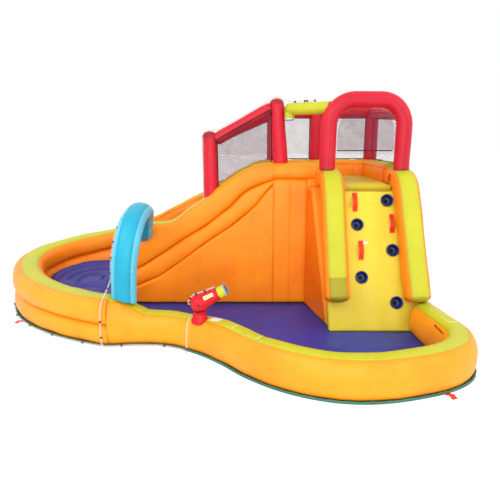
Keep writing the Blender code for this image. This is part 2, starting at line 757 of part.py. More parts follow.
def build_climbing_wall(seats):
    panel = loft("climb_panel", slab_rings(panel_outline(), PANEL_LEFT_X, PANEL_RIGHT_X), "yellow")
    flare = lambda y: -SIDE_SPLAY * np.clip((y - CLIMB_FRONT_Y - CLIMB_THICK) / (FRONT_FACE_Y + 0.36), 0, 1)
    left = side_outline(FRONT_BACK_Y - 0.02, FRONT_FACE_Y - GAP)
    right = side_outline(FRONT_FACE_Y - GAP, FRONT_FACE_Y)
    rings = slab_rings(left, PANEL_LEFT_X, PANEL_LEFT_X + SIDE_THICK, splay=flare)
    loft("climb_left_side", rings, "orange")
    loft("climb_right_side", slab_rings(right, PANEL_RIGHT_X - SIDE_THICK, PANEL_RIGHT_X), "orange")
    off, ends = GAP / math.sin(SLOPE), (PANEL_LEFT_X, PANEL_RIGHT_X)
    block = [(slope_y(z) - off, z) for z in (BLOCK_HIGH, 0.0)]
    block += [(FRONT_FACE_Y, 0.0), (FRONT_FACE_Y, BLOCK_HIGH)]
    for name, outline in (("climb_block", block), ("climb_panel", panel_outline(GAP))):
        seats[name] = hidden(name + "_seat", [[(x, y, z) for y, z in outline] for x in ends])
    for name, line in BOLSTERS.items():
        bolster = loft(name, bolster_rings(line), "orange", "lime")
        seats[name] = hidden(name + "_seat", bolster_rings(line, GAP))
        cut(bolster, seats["climb_panel"], seats["right_rim_tube"])
    for i, (x, z) in enumerate(HOLDS, 1):
        place(turned(f"foothold_{i}", hold_profile(), 16, "navy"), on_slope(x, z), SLOPE_OUT)
        socket = [(HOLD_RADIUS + GAP, -HOLD_DEPTH - GAP), (HOLD_RADIUS + GAP, 0.05)]
        cut(panel, place(turned(f"hold_socket_{i}", socket, 16, "black"), on_slope(x, z), SLOPE_OUT))
    for i, (x, z) in enumerate(HANDLES, 1):
        low, high = on_slope(x, z - HANDLE_LENGTH / 2), on_slope(x, z + HANDLE_LENGTH / 2)
        strap(f"handle_{i}", low, high, SLOPE_OUT, (1, 0, 0), HANDLE_RISE)
    grip_x = RIGHT_BOLSTER_X - BOLSTER_WIDTH / 2 * math.cos(BOLSTER_ANGLES[2]) ** BOLSTER_POWER
    low, high = SIDE_HANDLE_Z - SIDE_HANDLE_LENGTH / 2, SIDE_HANDLE_Z + SIDE_HANDLE_LENGTH / 2
    side = (grip_x, SIDE_HANDLE_Y)
    strap("handle_4", (*side, low), (*side, high), (-1, 0, 0), (0, 1, 0), HANDLE_RISE * 0.6)


# Red frame
ARCH_SPRING = ARCH_TOP - ARCH_RADIUS - ARCH_CORNER
RAIL_Z = CORNER_POST_TOP - RAIL_DROP
BACK_POST_TOP = CORNER_POST_TOP - BACK_POST_DROP
RIGHT_RAIL_Z = ARCH_TOP - RIGHT_RAIL_DROP
SPRAYER_START = (ARCH_LEFT_X + ARCH_CORNER / 4, ARCH_Y + 0.02, ARCH_TOP - SPRAYER_ARCH_DROP)
SPRAYER_ELBOW = (SPRAYER_X, SPRAYER_Y, CORNER_POST_TOP - SPRAYER_POST_DROP)


def arch_points():
    """The door arch's centre line: two posts and a flat-topped bow with round corners."""
    r = ARCH_CORNER
    turn = np.linspace(0, math.pi / 2, 6)
    bow = [(r - r * math.cos(a), ARCH_SPRING + r * math.sin(a)) for a in turn]
    left = [(ARCH_LEFT_X + dx, ARCH_Y, z) for dx, z in bow]
    right = [(ARCH_RIGHT_X - dx, ARCH_Y, z) for dx, z in bow[::-1]]
    foot = BOLSTER_TOP - ARCH_RADIUS
    return [(ARCH_LEFT_X, ARCH_Y, foot), *left, *right, (ARCH_RIGHT_X, ARCH_Y, foot)]


def arch_side_x(z):
    """X of the arch's right centre line at a height, round its corner too."""
    rise = max(0.0, z - ARCH_SPRING)
    return ARCH_RIGHT_X - ARCH_CORNER + math.sqrt(ARCH_CORNER**2 - rise**2)


def frame_lines():
    """Ends of each post and rail, the pieces that it is cut to, and whether its head is domed."""
    front, back = FRONT_WALL_Y, BACK_WALL_Y
    left, middle, right = BACK_POSTS_X.values()
    dome = POST_RADIUS * DOME
    slide_low, slide_top = DECK_TOP - 0.30, SLIDE_POST_TOP - dome
    rail_low = SLIDE_POST_TOP - POST_RADIUS * 1.5
    seat = WALL_TOP - 0.10
    corner_top, back_top = CORNER_POST_TOP - dome, BACK_POST_TOP - dome
    slide = [(SLIDE_POST_X, front, slide_low), (SLIDE_POST_X, front, slide_top)]
    corner = [(CORNER_POST_FOOT_X, front, seat), (CORNER_POST_HEAD_X, front, corner_top)]
    back_slide = [(BACK_SLIDE_POST_X, back, slide_low), (BACK_SLIDE_POST_X, back, slide_top)]
    slide_rail = [(SLIDE_POST_X, front, rail_low), (CORNER_POST_HEAD_X, front, RAIL_Z + 0.02)]
    back_slide_rail = [(BACK_SLIDE_POST_X, back, rail_low), (left, back, RAIL_Z)]
    back_rail = [(left, back, RAIL_Z), (right, back, RAIL_Z)]
    right_rail = [(arch_side_x(RIGHT_RAIL_Z), ARCH_Y, RIGHT_RAIL_Z), (right, back, RAIL_Z - 0.01)]
    return {
        "slide_post": (slide, ["slide_upper_tube"], True),
        "corner_post": (corner, ["slide_upper_tube", "tower_front_band"], True),
        "back_slide_post": (back_slide, ["back_wall"], True),
        "back_left_post": ([(left, back, seat), (left, back, back_top)], ["back_wall"], True),
        "back_right_post": ([(right, back, seat), (right, back, back_top)], ["back_wall"], True),
        "back_middle_post": ([(middle, back, seat), (middle, back, RAIL_Z)], ["back_wall"], False),
        "slide_rail": (slide_rail, ["slide_post", "corner_post"], False),
        "back_slide_rail": (back_slide_rail, ["back_slide_post", "back_left_post"], False),
        "back_rail": (back_rail, ["back_left_post", "back_right_post"], False),
        "right_rail": (right_rail, ["door_arch", "back_right_post", "back_rail"], False),
    }


def build_frame(seats):
    """Posts, rails and the door arch, each cut to seat on what carries it."""
    arch = tube("door_arch", arch_points(), ARCH_RADIUS, "red")
    seats["door_arch"] = clear_of("door_arch", arch_points(), ARCH_RADIUS)
    cut(arch, seats["left_bolster"], seats["right_bolster"])
    made = {}
    for name, (ends, carriers, domed) in frame_lines().items():
        radius = POST_RADIUS if name.endswith("post") else RAIL_RADIUS
        line = np.linspace(*np.array(ends), 3)
        made[name] = tube(name, line, radius, "red", (False, domed))
        seats[name] = clear_of(name, line, radius, (False, domed))
        cut(made[name], *(seats[carrier] for carrier in carriers))
    join(made["back_rail"], made["back_middle_post"])


def net(name, corners, across, carriers, seats):
    """A net panel: a thin sheet through four corners, cut to the tubes that hold its edges."""
    across = np.asarray(across, float)
    rings = [[np.asarray(corner) + across * side * NET / 2 for corner in corners] for side in (-1, 1)]
    cut(loft(name, rings, "net_grey"), *(seats[carrier] for carrier in carriers))


def build_nets(seats):
    lines = {name: np.array(ends) for name, (ends, _, _) in frame_lines().items()}
    foot = (0.0, 0.0, NET_SEAT)
    flat = np.array([1.0, 1.0, 0.0])
    slope_foot = (0.0, 0.0, NET_SEAT - 0.36)
    spans = {
        "slide_net": ("slide_rail", slope_foot, "slide_post corner_post slide_upper_tube tower_front_band"),
        "back_slide_net": ("back_slide_rail", slope_foot, "back_slide_post back_left_post back_wall"),
        "right_net": ("right_rail", foot, "door_arch back_right_post right_wall back_wall right_bolster"),
    }
    for name, (rail, low, held_by) in spans.items():
        start, end = lines[rail]
        corners = [start * flat + low, end * flat + foot, end, start]
        across = (1, 0, 0) if name == "right_net" else (0, 1, 0)
        net(name, corners, across, [rail, *held_by.split()], seats)
    left, middle, right = BACK_POSTS_X.values()
    halves = {"back_net_left": (left, middle), "back_net_right": (middle, right)}
    posts = ("back_left_post", "back_middle_post", "back_right_post")
    for i, (name, (start, end)) in enumerate(halves.items()):
        y = BACK_WALL_Y
        corners = [(start, y, NET_SEAT), (end, y, NET_SEAT), (end, y, RAIL_Z), (start, y, RAIL_Z)]
        net(name, corners, (0, 1, 0), ["back_rail", posts[i], posts[i + 1], "back_wall"], seats)


CURTAIN_PIVOT = (
    (ARCH_LEFT_X + ARCH_RIGHT_X) / 2, ARCH_Y, ARCH_TOP - 2 * ARCH_RADIUS - CURTAIN_HEAD_RADIUS - 0.001,
)


def build_curtain():
    """The doorway's net curtain, hung from a sleeve along its head, with a bound hem along its foot."""
    half = (ARCH_RIGHT_X - ARCH_LEFT_X) / 2 - ARCH_RADIUS - CURTAIN_SIDE
    r = ARCH_CORNER - ARCH_RADIUS - CURTAIN_SIDE
    turn = np.linspace(0, math.radians(78), 5)
    bow = [(half - r + r * math.cos(a), ARCH_SPRING + r * math.sin(a) - CURTAIN_PIVOT[2]) for a in turn]
    foot = CURTAIN_HEM_Z - CURTAIN_PIVOT[2]
    outline = [(-half, foot), (half, foot), *bow, *[(-x, z) for x, z in bow[::-1]]]
    rings = [[(x, side * NET / 2, z) for x, z in outline] for side in (-1, 1)]
    curtain = loft("door_curtain", rings, "net_grey")
    head = half - r
    hem = tube("curtain_hem", [(-half, 0, foot), (half, 0, foot)], CURTAIN_HEM_RADIUS, "black", sides=8)
    sleeve = tube("curtain_head", [(-head, 0, 0), (head, 0, 0)], CURTAIN_HEAD_RADIUS, "black", sides=8)
    for obj in (curtain, hem, sleeve):
        obj.location = CURTAIN_PIVOT
    join(curtain, hem)
    join(curtain, sleeve)


# Slide bed, deck and the web under the deck
def bed_rings():
    """Rings of the slide bed: rounded beams side by side along the lane, with a flat underside."""
    near, far = FRONT_BACK_Y + GAP, BACK_FACE_Y + RIB_DEPTH / 2
    line = smooth_line(BED_LINE, 0.16)
    tangents = np.gradient(line, axis=0)
    tangents /= np.linalg.norm(tangents, axis=1)[:, None]
    across = np.linspace(near, far, 2 * BED_BEAMS + 1)
    rings = []
    for (x, z), (tx, tz) in zip(line, tangents):
        ring = []
        for i, y in enumerate(across):
            drop = 0.0 if i % 2 else BED_GROOVE
            ring.append((x + tz * drop, y, z - tx * drop))
        ring += [(x + tz * BED_THICK, y, z - tx * BED_THICK) for y in (far, near)]
        rings.append(ring)
    return rings


def build_slide_and_deck(seats):
    bed = loft("slide_bed", bed_rings(), "pool_blue")
    cut(bed, seats["back_wall"])
    head = BED_LINE[-1][0]
    cut(bed, box("bed_head", (head - GAP, 0, 0.5), (head + 1, 2, 2), "black"))
    cut(bed, box("bed_foot", (-2, 0, -0.5), (0, 2, FLOOR_TOP + GAP), "black"))
    left = LEFT_BOLSTER_X + BOLSTER_WIDTH / 2 + GAP
    right = RIGHT_BOLSTER_X - BOLSTER_WIDTH / 2 - GAP
    near, far = FRONT_BACK_Y + GAP, BACK_FACE_Y - GAP
    side, lip = RIGHT_WALL_X - RIGHT_WALL_THICK / 2 - GAP, CLIMB_LIP_Y - 0.02
    outline = [
        (head, far), (head, near), (left, near), (left, lip), (right, lip), (right, FRONT_FACE_Y - 0.04),
        (side, FRONT_FACE_Y - GAP), (side, far),
    ]
    levels = ((DECK_UNDER, 0.004), (DECK_UNDER + 0.02, 0), (DECK_TOP - 0.03, 0), (DECK_TOP, DECK_EDGE))
    loft("deck", [[(*p, z) for p in inset(outline, by)] for z, by in levels], "yellow")
    web = [(WEB_X, near), (WEB_X + FLOOR_SHEET, near), (WEB_X + FLOOR_SHEET, far), (WEB_X, far)]
    prism("tower_web", web, BASE, DECK_UNDER - GAP, "orange")


# Ground sheet, pool floor and cushion
def beside(line, by, ends=(None, None)):
    """The line moved to its left by a distance."""
    sides = side_of(line)
    for i, fixed in zip((0, -1), ends):
        if fixed is not None:
            sides[i] = fixed
    return line + sides * np.broadcast_to(by, len(line))[:, None]


def sheet_outline():
    """The ground sheet's edge, anticlockwise from the climbing wall's right side."""
    left = beside(left_line, LEFT_WIDTH / 2 + HEM_OUT, (INTO_POOL, ACROSS_X))
    right = beside(right_line, -right_widths() / 2 - HEM_OUT, (ACROSS_X, None))
    back = beside(back_line, WALL_THICK / 2 + HEM_OUT, (ACROSS_X, ACROSS_X))
    side = BACK_END_X + HEM_OUT
    corner = [(side, back[-1][1]), (side, 0.2), (PANEL_RIGHT_X + HEM_OUT, 0.1)]
    end = (right[-1][0], right[-1][1] + 0.02)
    return np.array([*left[1:], *back[1:-1], *corner, end, *right[::-1]])[::-1]


def build_ground_sheet():
    edge = sheet_outline()
    sheet = prism("ground_sheet", edge, 0.0, SHEET, "hem_green")
    middles = (edge + np.roll(edge, -1, axis=0)) / 2
    ways = np.roll(edge, -1, axis=0) - edge
    ways /= np.linalg.norm(ways, axis=1)[:, None]
    for i, spot in enumerate(TABS):
        nearest = np.argmin(np.linalg.norm(middles - spot, axis=1))
        at, way = middles[nearest], ways[nearest]
        out = np.array([way[1], -way[0]])
        half, root, end = way * TAB_WIDTH / 2, at - out * 0.04, at + out * TAB_LENGTH
        corners = [root - half, end - half, end + half, root + half]
        join(sheet, prism(f"tab_{i}", corners, *TAB_LEVELS, "scarlet"))


def build_river_floor():
    """The wading floor: left pool, channel and right pool in one sheet inside the walls."""
    left = beside(left_line, -0.99 * LEFT_WIDTH / 2, (INTO_POOL, ACROSS_X))
    right = beside(right_line, 0.99 * right_widths() / 2, (ACROSS_X, None))
    off = 0.003
    block_y, face = CLIMB_FRONT_Y - off, FRONT_FACE_Y - off
    left_x = PANEL_LEFT_X - off
    block = [(PANEL_RIGHT_X - 0.14, block_y), (left_x, block_y), (left_x, CLIMB_FRONT_Y + 0.2)]
    block.append((SIDE_LEFT_X - off, face))
    end, inner, lane = SLIDE_END_X - off, FRONT_BACK_Y + off, -0.40
    mouth = [(end, face), (end, inner), (lane, inner), (lane, BACK_FACE_Y - off)]
    mouth.append((-0.76, BACK_FACE_Y + 0.05))
    rim = [tuple(p) for p in right if p[1] < block_y - 0.02]
    outline = [*[tuple(p) for p in left[1:-1][::-1]], *rim, *block, *mouth]
    prism("river_floor", outline, BASE, FLOOR_TOP, "pool_blue")


def build_cushion():
    """The landing cushion: curved ridges along the far wall and tufted pillows nearer the front."""
    low = FLOOR_TOP + GAP
    end = SLIDE_END_X - 0.05
    rim = beside(left_line, -(LEFT_WIDTH / 2 + CUSHION_INSET), (INTO_POOL, ACROSS_X))
    rim = rim[(rim[:, 0] < end) & (rim[:, 1] > -0.36)]
    mouth = [(end, y) for y in np.linspace(rim[-1][1], rim[0][1], 7)[1:-1]]
    ring = np.vstack([rim, mouth])
    centre = ring.mean(axis=0)
    rings = [[(x, y, low) for x, y in ring]]
    shares = (1.0, 0.985, 0.94, 0.86, 0.78, 0.70, 0.62, 0.54, 0.46, 0.38, 0.27, 0.15)
    for share in shares:
        pts = centre + (ring - centre) * share
        ridge = 0.5 + 0.5 * np.cos(2 * math.pi * (share - 0.94) / RIDGE_PITCH)
        tuft = (np.cos(math.pi * (pts - centre) / RIDGE_PITCH) ** 2).prod(axis=1)
        far = np.clip((pts[:, 1] - 0.35) / 0.35, 0, 1)
        relief = CUSHION_RELIEF * (far * ridge + (1 - far) * tuft)
        tops = np.interp(pts[:, 1], CUSHION_RISE_Y, (CUSHION_TOP, CUSHION_BACK_TOP))
        crown = tops - CUSHION_RELIEF - low
        edge = min(1.0, (1 - share) / 0.06) ** 0.5
        rings.append(np.column_stack([pts, low + 0.004 + (crown + relief) * edge]))
    rings[-1][:, 2] = rings[-1][:, 2].mean()
    loft("landing_cushion", rings, "pool_blue")


# Spray arch and sprayer
spray_arch_line = smooth_line(SPRAY_ARCH_LINE, 0.13)


def build_spray_arch(seats):
    rings = tube_rings(spray_arch_line, SPRAY_ARCH_RADIUS, 14, flat=SPRAY_ARCH_FLAT)
    arch = loft("spray_arch", rings, "arch_blue")
    cut(arch, seats["right_rim_tube"], seats["slide_upper_tube"])


def build_sprayer(seats):
    """The arm from the door arch to the corner post, its drop and the ring that the water leaves."""
    elbow = np.array(SPRAYER_ELBOW)
    low = elbow - (0, 0, SPRAYER_DROP)
    arm = tube("sprayer_arm", [SPRAYER_START, elbow], SPRAYER_RADIUS, "lime", (False, True))
    join(arm, tube("sprayer_drop", [elbow, low], SPRAYER_RADIUS * 0.88, "lime"))
    ring = [(SPRAYER_RADIUS * 0.80, -SPRAYER_RING), (SPRAYER_RADIUS * 0.80, 0.01)]
    join(arm, place(turned("sprayer_ring", ring, 12, "arch_blue"), low))
    cut(arm, seats["door_arch"], seats["corner_post"])


# Water cannon
CANNON_AT = (CANNON_X, CANNON_Y, CANNON_PIVOT_Z)
CANNON_AIM = (math.cos(CANNON_PITCH), 0.0, math.sin(CANNON_PITCH))
COLLAR_LOW = CANNON_PIVOT_Z - CANNON_BALL - COLLAR_BED


def ball_profile(radius, angles):
    return [(radius * math.cos(math.radians(a)), radius * math.sin(math.radians(a))) for a in angles]


def build_cannon(seats):
    rim = RIGHT_DIP_HEIGHT
    foot = [(PEDESTAL_RADIUS, rim - 0.08), (PEDESTAL_RADIUS, rim + 0.012)]
    neck = [(PEDESTAL_NECK + 0.008, COLLAR_LOW - 0.03), (PEDESTAL_NECK, COLLAR_LOW - GAP)]
    pedestal = place(turned("cannon_pedestal", foot + neck, 14, "red"), (CANNON_X, CANNON_Y, 0))
    cut(pedestal, seats["right_rim_tube"])
    bed = COLLAR_LOW - CANNON_PIVOT_Z
    side = [(COLLAR_RADIUS, bed), (COLLAR_RADIUS, bed + COLLAR_HEIGHT)]
    collar = turned("cannon_collar", side, 16, "red")
    ball = ball_profile(CANNON_BALL + BALL_CLEARANCE, (-84, -66, -48, -30, -12, 12, 30, 48, 66, 84))
    cut(place(collar, CANNON_AT), place(turned("ball_seat", ball, 16, "black"), CANNON_AT))
    barrel = ball_profile(CANNON_BALL, (-84, -64, -44, -24, -4, 18, 34))
    barrel += [(CANNON_MUZZLE_RADIUS + 0.008, CANNON_REACH * 0.55), (CANNON_MUZZLE_RADIUS, CANNON_REACH)]
    place(turned("cannon_barrel", barrel, 16, "red"), CANNON_AT, CANNON_AIM)
    start, end = CANNON_REACH + GAP, CANNON_REACH + NOZZLE_LENGTH
    flare = [(NOZZLE_RADIUS, start), (NOZZLE_RADIUS * 1.04, end - NOZZLE_RING)]
    flare += [(NOZZLE_RADIUS * 1.08, end - NOZZLE_RING + 0.002), (NOZZLE_RADIUS * 1.08, end)]
    nozzle = place(turned("cannon_nozzle", flare, 16, "lime"), CANNON_AT, CANNON_AIM)
    bore = [(NOZZLE_BORE, end - NOZZLE_LENGTH * 0.7), (NOZZLE_BORE + 0.004, end + 0.02)]
    cut(nozzle, place(turned("nozzle_bore", bore, 12, "black"), CANNON_AT, CANNON_AIM))


# Water tubes
def curve_tube(name, points, origin=(0.0, 0.0, 0.0)):
    """A round tube on a poly line, with filled ends."""
    curve = bpy.data.curves.new(name, "CURVE")
    curve.dimensions = "3D"
    curve.bevel_depth = TUBE_RADIUS
    curve.bevel_resolution = 2
    curve.use_fill_caps = True
    spline = curve.splines.new("POLY")
    spline.points.add(len(points) - 1)
    for target, point in zip(spline.points, points):
        target.co = (*(float(v) for v in np.subtract(point, origin)), 1.0)
    curve.materials.append(finish("tube_white"))
    obj = bpy.data.objects.new(name, curve)
    obj.location = origin
    bpy.context.scene.collection.objects.link(obj)


HEM_Z = TUBE_RADIUS + 0.0030
BESIDE_HEM = HEM_OUT + TUBE_RADIUS + HEM_CLEAR


def hose_inlet_place():
    """Where the hose coupling lies beside the hem, and the way that the hem runs there."""
    hem = beside(left_line, LEFT_WIDTH / 2 + HEM_OUT + NUT_RADIUS + TUBE_OFF, (INTO_POOL, ACROSS_X))
    i = int(np.argmin(np.abs(hem[:, 1] - INLET_Y) + (hem[:, 0] > -1.5) * 9))
    way = hem[i + 1] - hem[i - 1]
    return np.array([*hem[i], NUT_RADIUS + 0.0006]), np.array([*(way / np.linalg.norm(way)), 0.0])


def supply_points():
    """From the coupling round the left hem, along the front and up the rim to the cannon's pedestal."""
    inlet, way = hose_inlet_place()
    left = beside(left_line, LEFT_WIDTH / 2 + BESIDE_HEM, (INTO_POOL, ACROSS_X))
    right = beside(right_line, -right_widths() / 2 - BESIDE_HEM, (ACROSS_X, None))
    hem = [(*p, HEM_Z) for p in left[::-1] if np.dot(p - inlet[:2], way[:2]) < -0.14 and p[1] < INLET_Y]
    hem += [(*p, HEM_Z) for p in right[1:] if p[0] < CANNON_X - 0.20]
    start = [tuple(inlet - way * reach) for reach in (0.001, 0.02, 0.05)]
    last = np.array(hem[-1])
    over = CANNON_Y - RIGHT_WIDTH / 2 - TUBE_RADIUS - 0.004
    rise = [
        last + (0.06, -0.035, 0.001), (CANNON_X - 0.115, over - 0.003, 0.045),
        (CANNON_X - 0.112, over, 0.13),
        (CANNON_X - 0.110, over + 0.012, 0.23), (CANNON_X - 0.105, over + 0.055, 0.305),
        (CANNON_X - 0.090, CANNON_Y - 0.045, 0.352), (CANNON_X - PEDESTAL_NECK - 0.014, CANNON_Y, 0.358),
    ]
    return smooth_line([*start, *hem, *rise], 0.07)


def arch_tube_points():
    """A branch from the hem up the left wall and along the arch's left edge, over its crown."""
    away = LEFT_WIDTH / 2 + BESIDE_HEM
    x, y, top = SEAM[0] - 0.045, SEAM[1] + 0.01 - away, LEFT_NEAR_HEIGHT + TUBE_RADIUS + 0.003
    wall = [
        (x + 0.02, y - 0.030, HEM_Z), (x, y - 0.027, 0.034), (x - 0.012, y - 0.004, 0.12),
        (x - 0.012, y, 0.23), (x - 0.006, y - 0.002, 0.34), (x, y + 0.045, top - 0.03), (x, y + 0.11, top),
    ]
    out = SPRAY_ARCH_RADIUS + TUBE_RADIUS - TUBE_OFF
    tangents = np.gradient(spray_arch_line, axis=0)
    tangents /= np.linalg.norm(tangents, axis=1)[:, None]
    side = np.array([-1.0, 0.0, 0.0]) - tangents * -tangents[:, :1]
    side /= np.linalg.norm(side, axis=1)[:, None]
    edge = (spray_arch_line + side * out)[1:-3]
    edge = edge[edge[:, 2] > top + 0.05]
    return smooth_line([*wall, *edge], 0.06)


def over_dome(x, y, top, off, degrees):
    """Points at a distance from a post's domed head, at angles round it from its left side."""
    rise = POST_RADIUS * DOME
    points = []
    for angle in np.radians(degrees):
        c, s = math.cos(angle), math.sin(angle)
        away = np.array([-c / POST_RADIUS, 0.0, s / rise])
        at = np.array([x - POST_RADIUS * c, y, top - rise + rise * s])
        points.append(at + away / np.linalg.norm(away) * off)
    return points


def top_tube_points():
    """From the slide wall up the slide post, along its rail and over the corner post to the sprayer."""
    off = TUBE_RADIUS + TUBE_OFF + 0.001
    y = FRONT_WALL_Y
    x = SLIDE_POST_X - POST_RADIUS - off
    foot_z = float(level(SLIDE_TOPS, x)) + TUBE_RADIUS + 0.004
    left = [(x, y, foot_z), (x, y, foot_z + 0.15), (x, y, 1.85)]
    over = over_dome(SLIDE_POST_X, y, SLIDE_POST_TOP, off + 0.001, (0, 24, 47, 68, 88))
    start, end = (np.array(p) for p in frame_lines()["slide_rail"][0])
    way = (end - start) / np.linalg.norm(end - start)
    lift = np.array([-way[2], 0.0, way[0]]) * (RAIL_RADIUS + off + 0.002)
    rail = [start + (end - start) * t + lift for t in (0.17, 0.3, 0.5, 0.75)]
    crest = over_dome(CORNER_POST_HEAD_X, y, CORNER_POST_TOP, off + 0.003, (42, 65, 90, 115, 138))
    arm, elbow = np.array(SPRAYER_START), np.array(SPRAYER_ELBOW)
    lean = np.linalg.norm(arm - elbow) / np.linalg.norm((arm - elbow)[:2])
    lid = np.array([0.0, 0.0, (SPRAYER_RADIUS + off) * lean + 0.004])
    along_arm = [elbow + (arm - elbow) * t + lid for t in (0.08, 0.35, 0.6)]
    return smooth_line([*left, *over, *rail, *crest, *along_arm], 0.035)


def cannon_tube_points():
    """Along the top of the barrel, from behind the ball to the nozzle."""
    aim, pivot = np.array(CANNON_AIM), np.array(CANNON_AT)
    lid = np.array([-aim[2], 0.0, aim[0]])
    off = TUBE_RADIUS + TUBE_OFF + 0.001
    around = [(160, 0.001), (160, 0.013), (153, 0.019), (138, 0.015), (116, off), (90, off), (68, off)]
    ways = [aim * math.cos(math.radians(a)) + lid * math.sin(math.radians(a)) for a, _ in around]
    back = [pivot + way * (CANNON_BALL + out) for way, (_, out) in zip(ways, around)]
    barrel = ((0.07, 0.071), (0.11, 0.067), (0.16, 0.0625), (0.195, 0.0585))
    top = [pivot + aim * x + lid * (radius + off) for x, radius in barrel]
    return smooth_line([*back, *top], 0.013)


def build_tubes():
    curve_tube("supply_tube", supply_points())
    curve_tube("arch_tube", arch_tube_points())
    curve_tube("top_tube", top_tube_points())
    curve_tube("cannon_tube", cannon_tube_points(), CANNON_AT)


# Hose coupling, blower sleeve and zip
def build_coupling():
    """A flanged inlet on the hem with the turning nut that takes a garden hose."""
    at, way = hose_inlet_place()
    step = INLET_LENGTH - 0.01
    body = [(0.012, 0.0), (0.012, 0.02), (0.017, 0.024), (0.017, step), (0.013, step + 0.002)]
    body.append((0.013, INLET_LENGTH))
    place(turned("hose_inlet", body, 12, "black"), at, way)
    sides = 2 * NUT_RIDGES
    turn = np.linspace(0, 2 * math.pi, sides, endpoint=False)
    radii = np.where(np.arange(sides) % 2, NUT_RADIUS, NUT_RADIUS - 0.0015)
    ring = np.stack([radii * np.cos(turn), radii * np.sin(turn), np.zeros(sides)], axis=1)
    rings = [ring, ring + (0.0, 0.0, NUT_LENGTH)]
    nut = loft("hose_nut", rings, "black")
    place(nut, at + way * (INLET_LENGTH + GAP), way)
    bore = [(HOSE_BORE, 0.004), (HOSE_BORE, NUT_LENGTH + 0.01)]
    cut(nut, place(turned("nut_bore", bore, 12, "black"), at + way * (INLET_LENGTH + GAP), way))


def build_sleeve(seats):
    """The blower's sleeve: a short open fabric pipe out of the back wall."""
    start = BACK_WALL_Y + WALL_THICK / 4
    line = [(SLEEVE_X, start, SLEEVE_Z), (SLEEVE_X, SLEEVE_END_Y, SLEEVE_Z)]
    sleeve = tube("air_sleeve", line, SLEEVE_RADIUS, "orange", sides=14)
    bore = [(SLEEVE_X, start - 0.1, SLEEVE_Z), (SLEEVE_X, SLEEVE_END_Y + 0.1, SLEEVE_Z)]
    hole = tube("sleeve_bore", bore, SLEEVE_RADIUS - SLEEVE_WALL, "black", sides=14)
    cut(sleeve, hole, seats["back_wall"])


def inner_face_x(rim, ys, zs):
    """The rim's innermost X over a patch of its inner side, found with rays from the pool."""
    verts = [vert.co for vert in rim.data.vertices]
    tree = BVHTree.FromPolygons(verts, [face.vertices for face in rim.data.polygons])
    pool_x = (ARCH_LEFT_X + ARCH_RIGHT_X) / 2
    return min(tree.ray_cast(Vector((pool_x, y, z)), Vector((1, 0, 0)))[0].x for y in ys for z in zs)


def build_zip(rim):
    """The zip's tape, sewn on the rim's inner side, and its slider at the closed end."""
    low, high = ZIP_Z - ZIP_TAPE / 2, ZIP_Z + ZIP_TAPE / 2
    face = inner_face_x(rim, np.linspace(*ZIP_Y, 9), (low, high))
    join(rim, box("zip_tape", (face - ZIP_PROUD, ZIP_Y[0], low), (face + 0.03, ZIP_Y[1], high), "orange"))
    length, tall, deep = SLIDER_SIZE
    at = Vector((face - ZIP_PROUD - GAP, ZIP_Y[1] - ZIP_END, ZIP_Z))
    slider = box("zip_slider", (-deep, -length / 2, -tall / 2), (0.0, length / 2, tall / 2), "black")
    slider.location = at


def centre_on_origin():
    """Parents every piece to an empty that stands the whole object centred over the origin."""
    bpy.context.view_layer.update()
    graph = bpy.context.evaluated_depsgraph_get()
    corners = []
    pieces = [obj for obj in bpy.context.scene.objects if not obj.hide_render]
    for obj in pieces:
        shown = obj.evaluated_get(graph)
        corners += [shown.matrix_world @ vert.co for vert in shown.to_mesh().vertices]
        shown.to_mesh_clear()
    corners = np.array(corners)
    middle = (corners.min(axis=0) + corners.max(axis=0)) / 2
    plan = bpy.data.objects.new("plan", None)
    bpy.context.scene.collection.objects.link(plan)
    for obj in list(bpy.context.scene.objects):
        if obj is not plan:
            obj.parent = plan
    plan.location = (-middle[0], -middle[1], 0.0)


def main():
    clear_scene()
    walls, seats = build_walls()
    build_climbing_wall(seats)
    cut(walls["right_rim_tube"], seats["climb_block"])
    build_frame(seats)
    build_nets(seats)
    build_curtain()
    build_slide_and_deck(seats)
    build_ground_sheet()
    build_river_floor()
    build_cushion()
    build_spray_arch(seats)
    build_sprayer(seats)
    build_cannon(seats)
    build_tubes()
    build_coupling()
    build_sleeve(seats)
    build_zip(walls["right_rim_tube"])
    centre_on_origin()


main()
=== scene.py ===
"""Dresses the inflatable lazy river in sewn, air-filled cloth, nets and clear tubes, on its packed frame."""
import math

import bmesh
import bpy
import numpy as np
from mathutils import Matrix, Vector


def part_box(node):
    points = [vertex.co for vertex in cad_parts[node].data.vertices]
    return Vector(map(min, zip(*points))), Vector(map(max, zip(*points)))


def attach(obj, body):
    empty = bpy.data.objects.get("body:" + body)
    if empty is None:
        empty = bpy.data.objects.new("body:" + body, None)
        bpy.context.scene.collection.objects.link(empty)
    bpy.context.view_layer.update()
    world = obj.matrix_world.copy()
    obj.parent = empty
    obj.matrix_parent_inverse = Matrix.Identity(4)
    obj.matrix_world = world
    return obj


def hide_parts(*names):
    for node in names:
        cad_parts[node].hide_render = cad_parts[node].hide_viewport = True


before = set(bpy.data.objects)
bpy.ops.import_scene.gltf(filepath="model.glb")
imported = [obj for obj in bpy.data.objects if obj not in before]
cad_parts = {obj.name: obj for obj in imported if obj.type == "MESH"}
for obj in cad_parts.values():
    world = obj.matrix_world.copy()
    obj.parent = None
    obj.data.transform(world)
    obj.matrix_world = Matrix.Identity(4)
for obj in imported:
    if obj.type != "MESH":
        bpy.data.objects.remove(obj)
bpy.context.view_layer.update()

bl_info = {
    "name": "Inflatable Lazy River Dresser",
    "version": (1, 0, 0),
    "blender": (4, 5, 0),
    "location": "3D View > Sidebar > Lazy River",
    "description": "Builds the sewn and inflated look of a backyard lazy river over its packed frame",
    "category": "Object",
}

